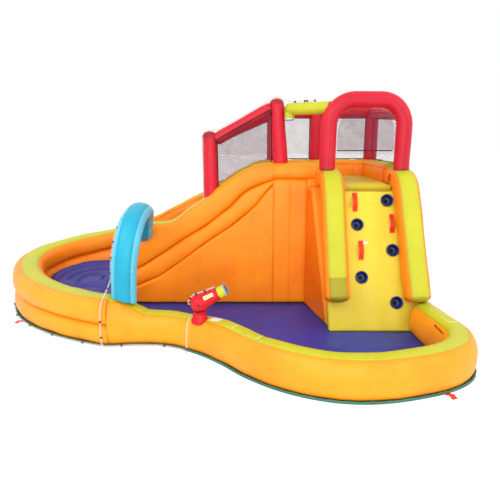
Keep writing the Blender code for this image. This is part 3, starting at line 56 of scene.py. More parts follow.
# Sizes of the frame that the pieces follow, in metres, before the shift to the packed place
BASE, FLOOR_TOP, GAP = 0.0063, 0.0143, 0.0003
LEFT_WIDTH, RIGHT_WIDTH = 0.35, 0.29
SEAM, BACK_SEAM = (-0.84, -0.68), (-1.10, 1.54)
LEFT_LINE = [
    (SEAM[0] - GAP, SEAM[1]), (-1.12, -0.57), (-1.41, -0.42), (-1.71, -0.20), (-1.94, 0.04), (-2.13, 0.36),
    (-2.25, 0.72), (-2.21, 1.03), (-2.04, 1.29), (-1.77, 1.49), (-1.43, 1.57),
    (BACK_SEAM[0] - GAP, BACK_SEAM[1]),
]
RIGHT_LINE = [
    SEAM, (-0.55, -0.67), (-0.20, -0.72), (0.10, -0.88), (0.37, -1.11), (0.58, -1.34), (0.80, -1.52),
    (1.02, -1.64), (1.25, -1.71), (1.50, -1.72), (1.80, -1.66), (2.12, -1.54), (2.31, -1.39), (2.39, -1.20),
    (2.39, -1.00), (2.35, -0.78), (2.31, -0.25),
]
BACK_LINE = [BACK_SEAM, (-0.75, 1.45), (-0.40, 1.39), (0.0, 1.37), (0.5, 1.37), (2.31, 1.37)]
NEAR_TOP, END_TOP, FAR_TOP = 0.45, 0.52, 0.76
LEFT_CREASES = [(0, 0.47), (0.25, 0.49), (0.55, 0.53), (0.85, 0.64), (1, 0.68)]
RIGHT_TOP, DIP_TOP = 0.335, 0.30
WALL_THICK, RIGHT_WALL_THICK = 0.30, 0.28
FRONT_Y, BACK_Y = 0.49, 1.37
FRONT_FACE_Y, FRONT_BACK_Y, BACK_FACE_Y = 0.34, 0.64, 1.22
WALL_TOP, BAND_LOW = 1.70, 1.52
BACK_TOPS = [
    (-1.10, 0.76), (-0.81, 0.90), (-0.43, 1.10), (-0.09, 1.27), (0.10, 1.38), (0.30, 1.51), (0.50, 1.62),
    (0.65, 1.68), (0.80, 1.70), (2.40, 1.70),
]
RIB_PITCH, RIB_DEPTH = 0.29, 0.035
CORNER_X, SLIDE_END_X, RIGHT_WALL_X, BACK_END_X = 0.81, -0.95, 2.17, 2.31
SLIDE_TOPS = [
    (-0.95, 0.92), (-0.80, 0.985), (-0.63, 0.99), (-0.44, 1.00), (-0.33, 1.05), (-0.18, 1.17),
    (0.02, 1.30), (0.21, 1.45), (0.42, 1.59), (0.56, 1.66), (0.71, 1.70), (0.81, 1.70),
]
UPPER_CREASE = [
    (-0.95, 0.40), (-0.77, 0.48), (-0.53, 0.63), (-0.27, 0.81), (0.0, 0.97), (0.31, 1.21), (0.42, 1.33),
    (0.52, 1.405), (0.63, 1.455), (0.73, 1.49), (0.81, 1.51),
]
LOWER_CREASE = [
    (-0.95, 0.19), (-0.78, 0.26), (-0.54, 0.37), (-0.27, 0.56), (0.0, 0.76), (0.31, 0.97), (0.52, 1.14),
    (0.63, 1.24), (0.73, 1.375), (0.81, 1.465),
]
SLIDE_RIB_X, TOWER_RIB_X, BAND_RIB_X, BAND_END_X = 0.34, 1.02, 1.26, 1.48
RIGHT_WALL_RIBS_Y = (0.63, 0.93)
BED_LINE = [
    (-1.00, 0.20), (-0.80, 0.22), (-0.55, 0.32), (-0.25, 0.56), (0.10, 0.88), (0.45, 1.20), (0.66, 1.36),
    (0.80, 1.42),
]
BED_THICK, BED_BEAMS = 0.15, 4
DECK_TOP, DECK_UNDER, WEB_X = 1.50, 1.395, 1.104
CLIMB_FRONT_Y, CLIMB_LIP_Y, CLIMB_LIP_Z, CLIMB_THICK = -0.52, 0.03, 1.46, 0.16
PANEL_LEFT_X, PANEL_RIGHT_X, SIDE_LEFT_X = 1.36, 2.34, 1.20
SIDE_THICK, SIDE_SPLAY = 0.20, 0.16
BOLSTER_WIDTH, BOLSTER_DEPTH, BOLSTER_TOP, BOLSTER_FOOT = 0.25, 0.22, 1.655, 0.34
LEFT_BOLSTER_X, RIGHT_BOLSTER_X = 1.41, 2.19
BOLSTER_LEANS = (0.025, 0.07)
HOLD_RADIUS, HOLD_DEPTH = 0.066, 0.075
HOLDS = [(2.02, 1.32), (1.69, 1.07), (2.06, 0.81), (1.72, 0.54), (2.08, 0.29)]
HANDLES = [(1.67, 1.30), (2.06, 1.08), (1.72, 0.81)]
HANDLE_REACH, STRAP_WIDTH, STRAP_THICK = 0.095, 0.052, 0.0042
POST_RADIUS, RAIL_RADIUS, ARCH_RADIUS = 0.084, 0.072, 0.086
DOME = POST_RADIUS * 0.75
ARCH_Y, ARCH_LEFT_X, ARCH_RIGHT_X, ARCH_TOP, ARCH_CORNER = 0.07, 1.375, 2.175, 2.45, 0.27
SLIDE_POST_X, SLIDE_POST_TOP, SLIDE_POST_FOOT, BACK_SLIDE_POST_X = 0.08, 2.05, 1.24, -0.01
CORNER_POST_FOOT_X, CORNER_POST_HEAD_X, CORNER_POST_TOP = 0.90, 0.84, 2.41
RAIL_Z, RIGHT_RAIL_Z, BACK_POST_TOP = 2.305, 2.24, 2.38
BACK_POSTS_X = (0.86, 1.42, 2.16)
NET_FOOT, NET_THICK, CURTAIN_HEM_Z = 1.704, 0.003, 1.84
SPRAY_RADIUS, SPRAY_FLAT = 0.124, 0.68
SPRAY_LINE = [
    (-0.700, -0.69, 0.36), (-0.690, -0.69, 0.60), (-0.668, -0.69, 0.835), (-0.640, -0.65, 1.015),
    (-0.620, -0.54, 1.145), (-0.610, -0.36, 1.215), (-0.615, -0.14, 1.225), (-0.645, 0.06, 1.175),
    (-0.690, 0.21, 1.05), (-0.725, 0.31, 0.91), (-0.740, 0.42, 0.83),
]
SPRAYER_RADIUS, SPRAYER_Z, SPRAYER_DROP = 0.066, 2.287, 0.10
ARM_START = np.array([ARCH_LEFT_X + ARCH_CORNER / 4, ARCH_Y + 0.02, SPRAYER_Z])
ARM_ELBOW = np.array([0.985, 0.42, SPRAYER_Z])
CANNON_AT, CANNON_PITCH, CANNON_BALL = (0.07, -0.93, 0.478), math.radians(28), 0.086
TUBE_RADIUS, HEM_OUT, INLET_Y, NUT_RADIUS = 0.008, 0.004, 1.02, 0.019
SLEEVE_X, SLEEVE_Z, SLEEVE_RADIUS, SLEEVE_END_Y, SLEEVE_TIE = 1.335, 0.20, 0.085, 1.84, 0.45
ZIP_Y, ZIP_Z, ZIP_TAPE = (-1.16, -0.98), 0.275, 0.022
TABS = [
    (-2.02, -0.26), (2.13, -1.72), (-2.2, 1.35), (-1.60, 1.80), (2.33, 0.75), (1.80, 1.53), (0.30, 1.53),
]
TAB_LONG, TAB_HALF, TAB_HALF_THICK, TAB_RISE = 0.085, 0.0265, 0.0017, 0.012
SHEET_THICK, PIPING_RADIUS, PIPING_Z, PIPING_INSET = 0.0055, 0.0098, 0.0104, 0.008
LABEL_LIFT, LABEL_THICK, LABEL_LINE = 0.0016, 0.0009, 0.0014
POST_SINK, ARCH_SINK, RAIL_START, RAIL_END = 0.016, 0.012, 0.07, 0.06
TIE_RADIUS, TIE_CORD_RADIUS, JET_CIRCLE, BOLT_OUT = 0.0815, 0.0032, 0.0462, 0.0885
RIDGE_PITCH, TUFT_PITCH, CUSHION_RELIEF, BEAM_PITCH, COLUMN_PITCH = 0.24, (0.40, 0.42), 0.05, 0.145, 0.245
TAG_X, TAG_Z = 1.77, 0.885
SLOPE = math.atan2(CLIMB_LIP_Z, CLIMB_LIP_Y - CLIMB_FRONT_Y)
SLOPE_OUT = np.array([0.0, -math.sin(SLOPE), math.cos(SLOPE)])
ARCH_SPRING = ARCH_TOP - ARCH_RADIUS - ARCH_CORNER
ACROSS_X, ALONG_Y, INTO_POOL = (0.0, 1.0), (-1.0, 0.0), (0.0, -1.0)
ALONG_X, UPRIGHT, BACKWARDS = (np.array(way, float) for way in ((1, 0, 0), (0, 0, 1), (0, 1, 0)))

# Seams of the lime strips and edge cloths, in degrees round a section from its right, or in columns
LEFT_STRIP, RIM_STRIP, SLIDE_STRIP, BAND_STRIP = (72, 130), (50, 112), (46, 112), (46, 104)
WALL_STRIP, BOLSTER_STRIP = (58, 122), (52, 128)
# The left walls' pool side, in degrees: it takes a deeper orange there as painted shade
LOWER_POOL_PAINTED_SHADE, UPPER_POOL_PAINTED_SHADE = (95, 265), (130, 265)
SPRAY_SEAMS = [8, 20, 36, 48]
OLIVE_ROWS = 22

lower_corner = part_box("slide_lower_panel")[0]
SHIFT = np.array([lower_corner[0] - SLIDE_END_X, lower_corner[1] - FRONT_FACE_Y, 0.0])


# Lines and sections
def unit(vectors):
    """The vectors at length one."""
    return vectors / np.linalg.norm(vectors, axis=-1, keepdims=True)


def along(line):
    """Distance run at each point of a line."""
    return np.concatenate([[0], np.cumsum(np.linalg.norm(np.diff(line, axis=0), axis=1))])


def at_run(line, places):
    """Points of a line at the given distances along it."""
    run = along(line)
    return np.stack([np.interp(places, run, line[:, k]) for k in range(line.shape[1])], axis=-1)


def points_of(x, y, z):
    """One array of points from three arrays that are spread over each other."""
    return np.stack(np.broadcast_arrays(x, y, z), axis=-1)


def round_turn(count):
    """Angles once round, evenly spaced."""
    return np.linspace(0, 2 * math.pi, count, endpoint=False)


def squared(share, power):
    """A sine or cosine pushed outwards: its size raised to a power, with its sign kept."""
    return np.sign(share) * np.abs(share) ** power


def rolled(edge, soft):
    """A quarter circle's rise, from 0 at an edge to 1 at a distance of soft from it."""
    return np.sqrt(np.clip(1 - (1 - np.clip(edge / soft, 0, 1)) ** 2, 0, 1))


def smooth_line(points, step):
    """A centripetal Catmull-Rom curve through the points, read off at an even spacing near step."""
    pts = np.asarray(points, float)
    ends = np.vstack([2 * pts[0] - pts[1], pts, 2 * pts[-1] - pts[-2]])
    t = np.linspace(0, 1, 25)[:-1, None]
    fine = []
    for i in range(1, len(ends) - 2):
        p0, p1, p2, p3 = ends[i - 1 : i + 3]
        chords = [max(math.sqrt(np.linalg.norm(q - p)), 1e-6) for p, q in ((p0, p1), (p1, p2), (p2, p3))]
        m1 = (p1 - p0) / chords[0] - (p2 - p0) / (chords[0] + chords[1]) + (p2 - p1) / chords[1]
        m2 = (p2 - p1) / chords[1] - (p3 - p1) / (chords[1] + chords[2]) + (p3 - p2) / chords[2]
        m1, m2 = m1 * chords[1], m2 * chords[1]
        fine.append(
            (2 * t**3 - 3 * t**2 + 1) * p1 + (t**3 - 2 * t**2 + t) * m1
            + (-2 * t**3 + 3 * t**2) * p2 + (t**3 - t**2) * m2
        )
    fine = np.vstack([*fine, pts[-1:]])
    length = along(fine)[-1]
    return at_run(fine, np.linspace(0, length, max(2, int(round(length / step)) + 1)))


def side_of(line, ends=(None, None)):
    """Unit normals in plan, to the left of the way of travel; those of the two ends are fixed where given."""
    tangent = unit(np.gradient(line[:, :2], axis=0))
    sides = np.stack([-tangent[:, 1], tangent[:, 0]], axis=1)
    for i, fixed in zip((0, -1), ends):
        if fixed is not None:
            sides[i] = fixed
    return sides


def beside(line, by, ends=(None, None)):
    """The line moved to its left by a distance."""
    return line + side_of(line, ends) * np.broadcast_to(by, len(line))[:, None]


def level(table, x):
    """A height table of (x, height) read at x."""
    return np.interp(x, [p[0] for p in table], [p[1] for p in table])


def eased(table, x, blur=0.05):
    """A height table read with its corners rounded: the mean of seven readings round x."""
    readings = [level(table, np.asarray(x) + d * blur) for d in (-1, -0.66, -0.33, 0, 0.33, 0.66, 1)]
    return np.mean(readings, axis=0)


def slope_y(z):
    """Y of the climbing face at a height."""
    return CLIMB_FRONT_Y + (CLIMB_LIP_Y - CLIMB_FRONT_Y) * z / CLIMB_LIP_Z


def on_slope(x, z, out=0.0):
    """A point over the climbing face at x and height z, raised by out at right angles to the face."""
    return np.array([x, slope_y(z), z]) + SLOPE_OUT * out


def bump_max(a, b, soft):
    """The larger of two values, rounded over where they meet."""
    return 0.5 * (a + b + np.sqrt((a - b) ** 2 + soft**2))


def tube_shape(turn, square=0.8):
    """Across and up, in shares, of a soft tube: a squared ellipse, flattened at the foot by its weight."""
    up = bump_max(squared(np.sin(turn), 0.8), -0.725, 0.05)
    return squared(np.cos(turn), square), (up - up.min()) / (up.max() - up.min())


def with_rows_near(degrees, seams, offsets, apart):
    """The degrees of a section with rows put close to each seam, and those too near to them left out."""
    near = [seam + off for seam in seams for off in offsets]
    return np.array(sorted([*[d for d in degrees if all(abs(d - n) > apart for n in near)], *near]))


def tube_section(seams=(), count=64, square=0.8):
    """A soft tube's section as (across, share of top, share of foot, fixed rise, degrees)."""
    even = np.linspace(0, 360, count, endpoint=False)
    degrees = with_rows_near(even, seams, (-4.5, -1.6, -0.5, 0, 0.5, 1.6, 4.5), 1.2)
    across, up = tube_shape(np.radians(degrees), square)
    return across, up, 1 - up, 0 * up, degrees


def wall_section(crown=0.17, foot=0.07, seam=26):
    """A tall wall's section: a squared round crown, an upright side in 22 rows, and a tucked foot."""
    top = np.radians(np.array([90, 78, 66, 56, 48, 40, 34, seam + 3, seam, seam - 3, 16, 9, 4]))
    side = np.linspace(0, 1, 24)
    low = np.radians([6, 16, 30, 48, 68, 90])
    across = np.concatenate([np.cos(top) ** 0.62, np.ones(24), np.cos(low) ** 0.45])
    high_share = np.concatenate([np.ones(13), 1 - side, np.zeros(6)])
    rise = np.concatenate([
        crown * (np.sin(top) ** 0.62 - 1), foot * side - crown * (1 - side),
        foot * (1 - np.sin(low) ** 0.62),
    ])
    degrees = np.concatenate([np.degrees(top), -side, -2 - np.degrees(low)])
    mirror = slice(-2, 0, -1)
    across = np.concatenate([across[:-1], [0], -across[mirror]])
    both = [np.concatenate([v, v[mirror]]) for v in (high_share, 1 - high_share, rise)]
    return (across, *both, np.concatenate([degrees, 180 - degrees[mirror]]))


def carried(line, sides, section, width, low, high):
    """Rings of a section carried along a plan line; widths and heights may change along it."""
    width, low, high = (np.broadcast_to(v, len(line))[:, None] for v in (width, low, high))
    across, top, foot, rise, _ = section
    z = top[None, :] * high + foot[None, :] * low + rise[None, :]
    plan = line[:, None, :2] + sides[:, None, :] * (across[None, :] * width / 2)[:, :, None]
    return np.concatenate([plan, z[:, :, None]], axis=2)


def round_rings(line, radius, count=40, flat=1.0, up=UPRIGHT):
    """Rings round a line in space, each at right angles to it; flat squeezes the second way across."""
    line = np.asarray(line, float)
    way = unit(np.gradient(line, axis=0))
    across = np.cross(way[0], up if abs(np.dot(way[0], up)) < 0.9 else ALONG_X)
    frames = []
    for tangent in way:
        across = unit(across - tangent * np.dot(across, tangent))
        frames.append(across)
    frames = np.array(frames)
    other = np.cross(way, frames)
    size = np.broadcast_to(np.asarray(radius, float), len(line))[:, None, None]
    turn = round_turn(count)
    one, two = np.cos(turn)[None, :, None], np.sin(turn)[None, :, None] * flat
    return line[:, None, :] + size * (one * frames[:, None, :] + two * other[:, None, :])


def closed_ends(rings, reach=(0.0, 0.0), rows=6):
    """Rings with each end drawn in to a pole in a round nose; reach is how far each nose stands out."""
    angle = np.linspace(0, math.pi / 2, rows + 1)[1:]
    made = [rings]
    for end, inner, out in ((0, 1, reach[0]), (-1, -2, reach[1])):
        ring = rings[end]
        centre = ring.mean(axis=0)
        way = centre - rings[inner].mean(axis=0)
        way /= max(np.linalg.norm(way), 1e-9)
        cap = centre + (ring - centre)[None] * np.cos(angle)[:, None, None]
        cap = cap + way * (np.sin(angle) * out)[:, None, None]
        cap[-1] = cap[-1].mean(axis=0)
        made = [*made, cap] if end else [cap[::-1], *made]
    return np.concatenate(made)


# Soft surfaces
def normals_of(grid):
    """Unit normals of a closed-round grid of rings, from the cross product of its two ways."""
    over = (np.roll(grid, -1, axis=1) - np.roll(grid, 1, axis=1)) / 2
    normal = np.cross(np.gradient(grid, axis=0), over)
    normal = normal / np.maximum(np.linalg.norm(normal, axis=2, keepdims=True), 1e-12)
    outwards = ((grid - grid.mean(axis=1, keepdims=True)) * normal).sum() >= 0
    return normal if outwards else -normal


def waves(points, size, seed, count=7):
    """A smooth wobble from -1 to 1: the mean of sine waves of about one size in fixed random directions."""
    draw = np.random.default_rng(seed)
    total = np.zeros(points.shape[:-1])
    for _ in range(count):
        way = draw.normal(size=3)
        way *= 2 * math.pi / size / np.linalg.norm(way) * draw.uniform(0.6, 1.5)
        total += np.sin(points @ way + draw.uniform(0, 6.28))
    return total / count**0.5 / 1.3


def folds_along(xs, size, seed):
    """The same wobble read along one line."""
    return waves(points_of(xs, 0.0, 0.0), size, seed)


def pucker(run, away, depth, pitch, spread, seed):
    """Gathers beside a seam: a sine along it whose pitch drifts, fading with distance from the seam."""
    draw = np.random.default_rng(seed)
    drift = sum(np.sin(run * k + draw.uniform(0, 6.28)) for k in (3.1, 7.3, 13.7, 21.0))
    strength = 0.55 + 0.45 * np.sin(run * 4.7 + draw.uniform(0, 6.28)) * np.sin(run * 1.9 + 1)
    gathers = np.sin(2 * math.pi * run / pitch + 1.3 * drift)
    return depth * strength * gathers * np.exp(-np.abs(away) / spread)


def sewn(grid, seams, seed, groove=0.0035, gather=0.0028, wobble=0.003, pitch=0.055, spread=0.045):
    """A tube's skin moved along its normals: a groove and gathers at each seam column, over a slow wobble.

    Also gives each point's distance from the nearest seam and its run along and round the skin, in metres.
    """
    step = np.linalg.norm(np.diff(grid, axis=0), axis=2).mean(axis=1)
    run = np.concatenate([[0], np.cumsum(step)])[:, None]
    hop = np.linalg.norm(np.roll(grid, -1, axis=1) - grid, axis=2).mean(axis=0)
    around = np.concatenate([[0], np.cumsum(hop)])[:-1]
    girth = hop.sum()
    nearest = np.full(grid.shape[:2], 9.0)
    move = waves(grid, 0.42, seed) * wobble
    for i, column in enumerate(seams):
        away = ((around - around[column] + girth / 2) % girth - girth / 2)[None, :]
        nearest = np.minimum(nearest, np.abs(away))
        move = move - groove * np.exp(-((away / 0.007) ** 2))
        move = move + pucker(run, away, gather, pitch, spread, seed + 11 * i)
    for edge in (run, run[-1] - run):
        nearest = np.minimum(nearest, np.abs(edge))
        move = move + pucker(around[None, :], edge, gather, pitch * 0.8, spread, seed + 71)
    return grid + normals_of(grid) * move[:, :, None], nearest, run + 0 * nearest, around + 0 * nearest


def with_noses(skin, reach=(0.0, 0.0), rows=6):
    """A sewn skin closed by noses, with its seam, run and round values carried on over them."""
    grid, *values = skin
    return closed_ends(grid, reach, rows), *(np.pad(v, [(rows, rows), (0, 0)], mode="edge") for v in values)


# Meshes
def placed(name, data):
    """An object of the scene that holds the mesh, light or camera."""
    obj = bpy.data.objects.new(name, data)
    bpy.context.scene.collection.objects.link(obj)
    return obj


def ring_faces(rows, count):
    """Four-cornered faces of rings that close round, with a flat cap at neither end."""
    i, j = np.meshgrid(np.arange(rows - 1) * count, np.arange(count), indexing="ij")
    k = (j + 1) % count
    return np.stack([i + j, i + k, i + count + k, i + count + j], axis=-1).reshape(-1, 4)


def mesh_piece(name, verts, faces, finishes, marks=None, seam=None, uv=None, smooth=True, merge=1e-5):
    """One object from arrays. marks gives each face's finish, seam each point's distance from a seam."""
    verts = np.asarray(verts, float).reshape(-1, 3)
    mesh = bpy.data.meshes.new(name)
    mesh.from_pydata(verts + SHIFT, [], faces if isinstance(faces, list) else faces.tolist())
    for finish in [finishes] if isinstance(finishes, str) else finishes:
        mesh.materials.append(FINISHES[finish]())
    if marks is not None:
        mesh.polygons.foreach_set("material_index", np.asarray(marks, np.int32))
    near = mesh.attributes.new("seam", "FLOAT", "POINT")
    seam = np.asarray(0.3 if seam is None else seam, float)
    near.data.foreach_set("value", np.broadcast_to(seam.ravel(), len(verts)).copy())
    if uv is not None:
        layer = mesh.uv_layers.new(name="cloth")
        index = np.empty(len(mesh.loops), np.int32)
        mesh.loops.foreach_get("vertex_index", index)
        layer.data.foreach_set("uv", np.asarray(uv, float).reshape(-1, 2)[index].ravel())
    shaped = bmesh.new()
    shaped.from_mesh(mesh)
    if merge:
        bmesh.ops.remove_doubles(shaped, verts=shaped.verts, dist=merge)
    bmesh.ops.recalc_face_normals(shaped, faces=shaped.faces)
    shaped.to_mesh(mesh)
    shaped.free()
    if smooth:
        mesh.shade_smooth()
        mesh.set_sharp_from_angle(angle=math.radians(50))
    return placed(name, mesh)


def skin_piece(name, finishes, grid, seam=None, run=None, around=None, marked=None, **kept):
    """A piece from rings. marked gives the finish of each column of faces, or of every face."""
    rows, count = grid.shape[:2]
    if marked is not None and len(marked) == count:
        marked = np.tile(marked, rows - 1)
    uv = None if run is None else np.stack([run, around], axis=-1)
    return mesh_piece(name, grid, ring_faces(rows, count), finishes, marked, seam, uv, **kept)


def fit(obj, body="park", nodes=()):
    """Lets a piece ride on its body, names its finish and says which CAD nodes it stands for."""
    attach(obj, body)
    if nodes:
        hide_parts(*([nodes] if isinstance(nodes, str) else nodes))
    return obj


def merged(name, parts):
    """One object from several whose meshes are already in place."""
    shaped = bmesh.new()
    finishes = []
    for part in parts:
        swap = []
        for material in part.data.materials:
            if material not in finishes:
                finishes.append(material)
            swap.append(finishes.index(material))
        first = len(shaped.faces)
        shaped.from_mesh(part.data)
        shaped.faces.ensure_lookup_table()
        for face in shaped.faces[first:]:
            face.material_index = swap[face.material_index]
    mesh = bpy.data.meshes.new(name)
    shaped.to_mesh(mesh)
    shaped.free()
    for material in finishes:
        mesh.materials.append(material)
    for part in parts:
        bpy.data.objects.remove(part, do_unlink=True)
    return placed(name, mesh)


def points_moved(obj, move):
    """Moves a piece's points in place: move gets their array and changes it."""
    verts = np.array([v.co for v in obj.data.vertices])
    move(verts)
    obj.data.vertices.foreach_set("co", verts.ravel())


def plate_piece(name, outline, low, high, finish, step=0.03, lift=None):
    """A flat sheet from a plan outline: its faces are cut to a grid of squares, raised by lift(x, y)."""
    shaped = bmesh.new()
    shaped.faces.new([shaped.verts.new((*point, 0.0)) for point in outline])
    lo, hi = np.min(outline, axis=0), np.max(outline, axis=0)
    for axis in (0, 1):
        for at in np.arange(lo[axis] + step, hi[axis], step):
            middle, normal = [0, 0, 0], [0, 0, 0]
            middle[axis], normal[axis] = at, 1
            everything = shaped.verts[:] + shaped.edges[:] + shaped.faces[:]
            bmesh.ops.bisect_plane(shaped, geom=everything, dist=1e-6, plane_co=middle, plane_no=normal)
    bmesh.ops.triangulate(shaped, faces=[f for f in shaped.faces if len(f.verts) > 4])
    shaped.verts.index_update()
    plan = np.array([v.co[:2] for v in shaped.verts])
    cells = [[v.index for v in face.verts] for face in shaped.faces]
    rim = [(e.verts[0].index, e.verts[1].index) for e in shaped.edges if e.is_boundary]
    shaped.free()
    rise = lift(plan) if lift else np.zeros(len(plan))
    count = len(plan)
    verts = np.vstack([np.column_stack([plan, low + 0 * rise]), np.column_stack([plan, high + rise])])
    faces = [cell[::-1] for cell in cells] + [[i + count for i in cell] for cell in cells]
    faces += [[a, b, b + count, a + count] for a, b in rim]
    return mesh_piece(name, verts, faces, finish, seam=0.0, merge=0)


# Finishes
class Wiring:
    """Adds nodes to a material or group and joins them."""

    def __init__(self, tree):
        self.tree = tree

    def node(self, kind, **values):
        made = self.tree.nodes.new("ShaderNode" + kind)
        for key, value in values.items():
            setattr(made, key, value)
        return made

    def put(self, socket, value):
        if isinstance(value, bpy.types.NodeSocket):
            self.tree.links.new(value, socket)
        else:
            socket.default_value = value

    def put_all(self, sockets, values):
        for label, value in values.items():
            self.put(sockets[label], value)

    def math(self, how, a, b=0.0, clamp=False):
        made = self.node("Math", operation=how, use_clamp=clamp)
        self.put(made.inputs[0], a)
        self.put(made.inputs[1], b)
        return made.outputs[0]

    def add(self, a, b):
        return self.math("ADD", a, b)

    def times(self, a, b):
        return self.math("MULTIPLY", a, b)

    def less(self, a):
        return self.math("SUBTRACT", 1.0, a, clamp=True)

    def noise(self, vector, scale, detail=2.0, rough=0.5):
        made = self.node("TexNoise")
        self.put_all(made.inputs, {"Vector": vector, "Scale": scale, "Detail": detail, "Roughness": rough})
        return made.outputs["Fac"]

    def spread(self, value, low, high, to_low=0.0, to_high=1.0):
        made = self.node("MapRange", clamp=True)
        self.put_all(made.inputs, {
            "Value": value, "From Min": low, "From Max": high, "To Min": to_low, "To Max": to_high,
        })
        return made.outputs["Result"]

    def mix(self, share, a, b, how="MIX"):
        made = self.node("Mix", data_type="RGBA", blend_type=how)
        for i, value in zip((0, 6, 7), (share, a, b)):
            self.put(made.inputs[i], value)
        return made.outputs[2]

    def bump(self, height, strength, distance):
        made = self.node("Bump")
        self.put_all(made.inputs, {"Strength": strength, "Distance": distance, "Height": height})
        return made.outputs[0]


def group_of(name, inputs, outputs, wire):
    """A shader node group with named sockets, built once."""
    found = bpy.data.node_groups.get(name)
    if found:
        return found
    tree = bpy.data.node_groups.new(name, "ShaderNodeTree")
    for label, default in inputs.items():
        kind = "NodeSocketColor" if isinstance(default, tuple) else "NodeSocketFloat"
        tree.interface.new_socket(label, in_out="INPUT", socket_type=kind).default_value = default
    for label, kind in outputs.items():
        tree.interface.new_socket(label, in_out="OUTPUT", socket_type=kind)
    w = Wiring(tree)
    source, sink = tree.nodes.new("NodeGroupInput"), tree.nodes.new("NodeGroupOutput")
    w.put_all(sink.inputs, wire(w, source.outputs))
    return tree


def coated_cloth():
    """Coated nylon: a fine basket weave in relief, cloudy tone, pale dust, darker sewn seams."""

    def wire(w, given):
        where = w.node("TexCoord").outputs["Object"]
        seam = w.node("Attribute", attribute_name="seam").outputs["Fac"]
        weave = []
        for axis in ("X", "Y", "Z"):
            wave = w.node("TexWave", wave_type="BANDS", bands_direction=axis, wave_profile="SIN")
            w.put_all(wave.inputs, {
                "Vector": where, "Scale": 130.0, "Distortion": 0.25, "Detail": 1.0, "Detail Scale": 0.6,
            })
            weave.append(wave.outputs["Fac"])
        basket = w.times(w.add(w.add(weave[0], weave[1]), weave[2]), 0.33)
        crease = w.noise(where, 26.0, 3.0, 0.6)
        cloud = w.noise(where, 3.2, 3.0, 0.55)
        patch = w.noise(where, 11.0, 2.0, 0.5)
        tone = w.add(w.spread(cloud, 0.3, 0.7, -0.5, 0.5), w.spread(patch, 0.3, 0.7, -0.25, 0.25))
        shade = w.add(1.0, w.times(tone, given["Variation"]))
        stitched = w.less(w.spread(seam, 0.0015, 0.007))
        # painted shade: the cloth is up to 6% darker within 5 cm of each seam and piece end, where it is
        # drawn in
        soft = w.less(w.spread(seam, 0.0, 0.05))
        shade = w.times(shade, w.math("SUBTRACT", 1.0, w.times(soft, 0.06)))
        grey = w.node("CombineColor")
        for channel in grey.inputs[:3]:
            w.put(channel, shade)
        bright = w.mix(1.0, given["Cloth Colour"], grey.outputs[0], "MULTIPLY")
        deep = w.times(w.spread(w.noise(where, 1.7, 2.0, 0.5), 0.46, 0.70), given["Depth"])
        tinted = w.mix(deep, bright, given["Seam Colour"])
        dark = w.mix(w.times(stitched, given["Seam Depth"]), tinted, given["Seam Colour"])
        dust = w.times(w.spread(w.noise(where, 60.0, 2.0, 0.7), 0.55, 0.8), given["Dust"])
        relief = w.add(w.times(basket, 0.35), w.times(crease, given["Crease"]))
        relief = w.add(relief, w.times(patch, 1.4))
        return {
            "Colour": w.mix(dust, dark, (0.86, 0.84, 0.80, 1.0)),
            "Roughness": w.add(given["Cloth Roughness"], w.times(tone, 0.10)),
            "Normal": w.bump(relief, 0.35, 0.0022),
        }

    inputs = {
        "Cloth Colour": (1, 0.5, 0.1, 1), "Seam Colour": (0.6, 0.2, 0.02, 1), "Variation": 0.08,
        "Crease": 0.8, "Seam Depth": 0.5, "Dust": 0.03, "Depth": 0.3, "Cloth Roughness": 0.42,
    }
    outputs = {"Colour": "NodeSocketColor", "Roughness": "NodeSocketFloat", "Normal": "NodeSocketVector"}
    return group_of("coated cloth", inputs, outputs, wire)


def linear(red, green, blue):
    """A colour read from 0 to 255 as it looks, as the shader wants it."""
    shown = np.array([red, green, blue]) / 255
    return tuple(np.where(shown <= 0.04045, shown / 12.92, ((shown + 0.055) / 1.055) ** 2.4).tolist())


def material_maker(paint):
    """Makes materials, each built once for its name: paint(wiring, shader sockets, colour, ...) wires one."""

    def named(name, colour, *sizes, **values):
        def make():
            material = bpy.data.materials.get(name)
            if not material:
                material = bpy.data.materials.new(name)
                material.use_nodes = True
                sockets = material.node_tree.nodes["Principled BSDF"].inputs
                paint(Wiring(material.node_tree), sockets, linear(*colour), *sizes, **values)
            return material
        return make
    return named


@material_maker
def cloth(w, sockets, colour, seam, rough=0.42, variation=0.08, crease=0.8, dust=0.02, coat=0.03, tint=0.3):
    """Coated nylon in one colour, with another for its seams and, by tint, for slow clouds."""
    fabric = w.node("Group", node_tree=coated_cloth())
    w.put_all(fabric.inputs, {
        "Cloth Colour": (*colour, 1), "Seam Colour": (*linear(*seam), 1), "Variation": variation,
        "Crease": crease, "Seam Depth": 0.5, "Dust": dust, "Depth": tint, "Cloth Roughness": rough,
    })
    w.put_all(sockets, {
        "Base Color": fabric.outputs["Colour"], "Roughness": fabric.outputs["Roughness"],
        "Normal": fabric.outputs["Normal"], "Coat Weight": coat, "Coat Roughness": 0.3, "Sheen Weight": 0.0,
        "Specular IOR Level": 0.3,
    })


@material_maker
def net(w, sockets, colour, hole=0.0068, coverage=0.5):
    """Knitted net: square holes a few millimetres wide between soft cords, by a grid on its own flat map."""
    flat = w.node("UVMap", uv_map="cloth").outputs[0]
    parts = w.node("SeparateXYZ")
    w.put(parts.inputs[0], flat)
    turns = [w.times(parts.outputs[axis], 2 * math.pi / hole) for axis in (0, 1)]
    cords = [w.math("ABSOLUTE", w.math("SINE", turn)) for turn in turns]
    thread = w.less(w.spread(w.times(*cords), 0.30, 0.42))
    folds = w.noise(flat, 9.0, 3.0, 0.6)
    cover = w.spread(folds, 0.3, 0.75, coverage + 0.16, coverage + 0.42)
    paler = [min(1, c * 1.5) for c in colour]
    w.put_all(sockets, {
        "Alpha": w.math("MULTIPLY", thread, cover, clamp=True),
        "Base Color": w.mix(w.spread(folds, 0.35, 0.7), (*colour, 1), (*paler, 1)),
        "Normal": w.bump(thread, 0.5, 0.002), "Roughness": 0.75,
    })


